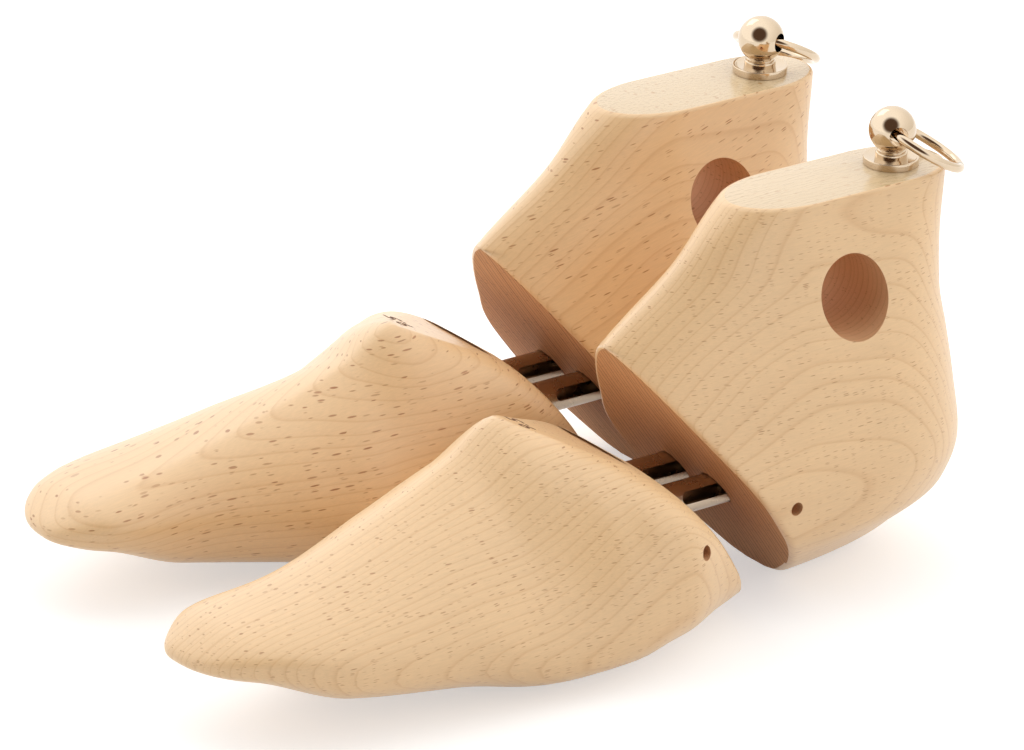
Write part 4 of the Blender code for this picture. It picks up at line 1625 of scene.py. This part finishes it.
@dataclass(frozen=True)
class Studio:
    """Pale floor, a dome of soft light that is brightest past the toes, and a faint, wide lamp.

    Args:
        floor_size: Side of the floor.
        floor_colour: Its colour.
        floor_glow: What the camera and the metal see added to the lit floor, so that it is white.
        dome: Strength of the dome.
        dome_tones: Its tones, from its darkest side to its brightest.
        bright_way: Direction from which the dome is brightest.
        flag_way: Direction of the dark flag above the camera.
        flag_edges: Cosines of the flag's soft outer and inner edge.
        flag_colour: Colour of the flag.
        lamp: Power of the lamp in watts.
        lamp_size: Side of the lamp.
        lamp_spot: Where it hangs, behind the trees.
    """

    floor_size: float = 9.0
    floor_colour: str = "DCDCDC"
    floor_glow: float = 0.50
    dome: float = 1.52
    dome_tones: tuple[tuple[float, str], ...] = (
        (0.0, "D2CEC8"), (0.30, "E6E3DF"), (0.50, "F2F0EE"), (0.68, "FCFCFA"), (0.85, "FFFFFF"))
    bright_way: tuple[float, float, float] = (-0.75, 0.25, 0.61)
    flag_way: tuple[float, float, float] = (-0.597, -0.479, 0.643)
    flag_edges: tuple[float, float] = (0.68, 0.89)
    flag_colour: str = "4E3C30"
    lamp: float = 1.2
    lamp_size: float = 0.7
    lamp_spot: tuple[float, float, float] = (0.15, 1.05, 0.95)

    def seen(self, tree: NodeTree) -> Socket:
        """Adds up the rays that see the background: camera, glossy and transmission.

        Args:
            tree: The node tree.

        Returns:
            1 for such a ray, otherwise 0.
        """
        path = add_node(tree, "ShaderNodeLightPath", {})
        both = add_node(
            tree, "ShaderNodeMath",
            {0: path.outputs["Is Camera Ray"], 1: path.outputs["Is Glossy Ray"]},
            operation="ADD").outputs[0]
        return add_node(
            tree, "ShaderNodeMath", {0: both, 1: path.outputs["Is Transmission Ray"]},
            operation="ADD", use_clamp=True).outputs[0]

    def lay_floor(self) -> None:
        """Lays the floor, seen as white but with the trees' shadow left on it."""
        start_primitive()
        bpy.ops.mesh.primitive_plane_add(size=self.floor_size)
        floor = bpy.context.object
        floor.name = "studio_floor"
        material = bpy.data.materials.new("white_studio_floor")
        material.use_nodes = True
        tree = material.node_tree
        tree.nodes.clear()
        matte = add_node(
            tree, "ShaderNodeBsdfDiffuse", {"Color": linear(self.floor_colour)}).outputs[0]
        level = add_node(
            tree, "ShaderNodeMath", {0: self.seen(tree), 1: self.floor_glow},
            operation="MULTIPLY").outputs[0]
        glow = add_node(tree, "ShaderNodeEmission", {"Strength": level}).outputs[0]
        both = add_node(tree, "ShaderNodeAddShader", {0: matte, 1: glow}).outputs[0]
        add_node(tree, "ShaderNodeOutputMaterial", {"Surface": both})
        floor.data.materials.append(material)

    def light(self) -> None:
        """Sets the dome with its dark flag and hangs the lamp."""
        world = bpy.data.worlds.new("studio_dome")
        world.use_nodes = True
        tree = world.node_tree
        tree.nodes.clear()
        way = add_node(tree, "ShaderNodeTexCoord", {}).outputs["Generated"]
        facing = add_node(
            tree, "ShaderNodeVectorMath", {0: way, 1: self.bright_way},
            operation="DOT_PRODUCT").outputs["Value"]
        # From -1 and 1 to 0 and 1
        share = add_node(
            tree, "ShaderNodeMath", {0: facing, 1: 0.5, 2: 0.5},
            operation="MULTIPLY_ADD").outputs[0]
        dome = set_ramp(add_node(tree, "ShaderNodeValToRGB", {0: share}), self.dome_tones)
        near = add_node(
            tree, "ShaderNodeVectorMath", {0: way, 1: self.flag_way},
            operation="DOT_PRODUCT").outputs["Value"]
        flag = add_node(
            tree, "ShaderNodeMapRange",
            {"Value": near, "From Min": self.flag_edges[0], "From Max": self.flag_edges[1]},
            interpolation_type="SMOOTHSTEP").outputs[0]
        flagged = add_node(
            tree, "ShaderNodeMix", {0: flag, 6: dome.outputs[0], 7: linear(self.flag_colour)},
            data_type="RGBA").outputs[2]
        shine = add_node(tree, "ShaderNodeBackground", {
            "Color": flagged, "Strength": self.dome}).outputs[0]
        add_node(tree, "ShaderNodeOutputWorld", {"Surface": shine})
        bpy.context.scene.world = world
        data = bpy.data.lights.new("soft_lamp", "AREA")
        data.size = self.lamp_size
        data.energy = self.lamp
        lamp = bpy.data.objects.new("soft_lamp", data)
        lamp.location = self.lamp_spot
        lamp.rotation_euler = (-Vector(self.lamp_spot)).to_track_quat("-Z", "Y").to_euler()
        bpy.context.scene.collection.objects.link(lamp)


FINE_FLECK = Vector((0.0034, 0.0015, 0.00036))
HEEL_BOARDS = {
    Side.RIGHT: Board(
        pith=Vector((0.0, 0.550, 0.060)), lean=(math.radians(1), math.radians(1.5)),
        ring=0.0022, rays=0.72, fleck=FINE_FLECK),
    Side.LEFT: Board(
        pith=Vector((0.0, -0.300, 0.110)), lean=(math.radians(16), math.radians(2)),
        ring=0.0021, rays=0.85, fleck=Vector((0.0046, 0.0026, 0.00058))),
}
FORE_BOARDS = {
    Side.RIGHT: Board(
        pith=Vector((-0.150, 0.500, 0.080)), lean=(math.radians(3), math.radians(-2)),
        ring=0.0023, rays=0.72, fleck=FINE_FLECK),
    Side.LEFT: Board(
        pith=Vector((-0.150, -0.060, 0.280)), lean=(math.radians(6), math.radians(2)),
        ring=0.0024, rays=0.90, fleck=Vector((0.0048, 0.0028, 0.00062))),
}


def dress_inner_parts(where: Standing, steel: Material, brass: Material) -> None:
    """Gives the nodes that stay as they are their finishes.

    Args:
        where: Where the tree stands.
        steel: Finish of the cross pins.
        brass: Finish of the threaded insert.
    """
    finishes = {"heel_pin": steel, "forefoot_pin": steel, "threaded_insert": brass}
    for piece, finish in finishes.items():
        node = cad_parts[where.node(piece)]
        for slot in node.material_slots:
            slot.material = finish
        LOG.info("%s: %s", node.name, finish.name)


def wind_springs(where: Standing, wire: Material) -> None:
    """Makes the springs behind the tubes, as rigid copies of the frame's; real ones shorten as the
    forefoot slides in.

    Args:
        where: Where the tree stands.
        wire: Finish of the springs.
    """
    for label in ("lateral", "medial"):
        name = where.node(f"{label}_spring")
        spring = copied(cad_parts[name], name + "_wound")
        select_only(spring)
        tidy_shell(spring)
        smooth(spring, WIRE_CREASE)
        dress(spring, wire)
        register(spring, name, "heel_blocks")
        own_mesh(spring)


def main() -> None:
    """Builds the studio and both trees."""
    logging.basicConfig(level=logging.INFO, format="%(name)s: %(message)s")
    steel = TUBE_STEEL.material()
    wire = SPRING_WIRE.material()
    nickel = NICKEL.material()
    brass = BRASS.material()
    front = SlopingCut()
    tubes = Tubes(front)
    heel = HeelBlock(front)
    forefoot = ForefootBlock(front)
    knob = PullKnob()
    for side in Side:
        where = standing(side)
        heel.build(tubes, where, HEEL_BOARDS[side])
        forefoot.build(tubes, where, FORE_BOARDS[side])
        tubes.build(where, steel)
        knob.build(where, nickel)
        wind_springs(where, wire)
        dress_inner_parts(where, steel, brass)
    studio = Studio()
    studio.lay_floor()
    studio.light()
    ProductCamera().place(standing(Side.RIGHT).knob_axis)
    bpy.context.scene.view_settings.view_transform = "Standard"


if __name__ == "__main__":
    main()
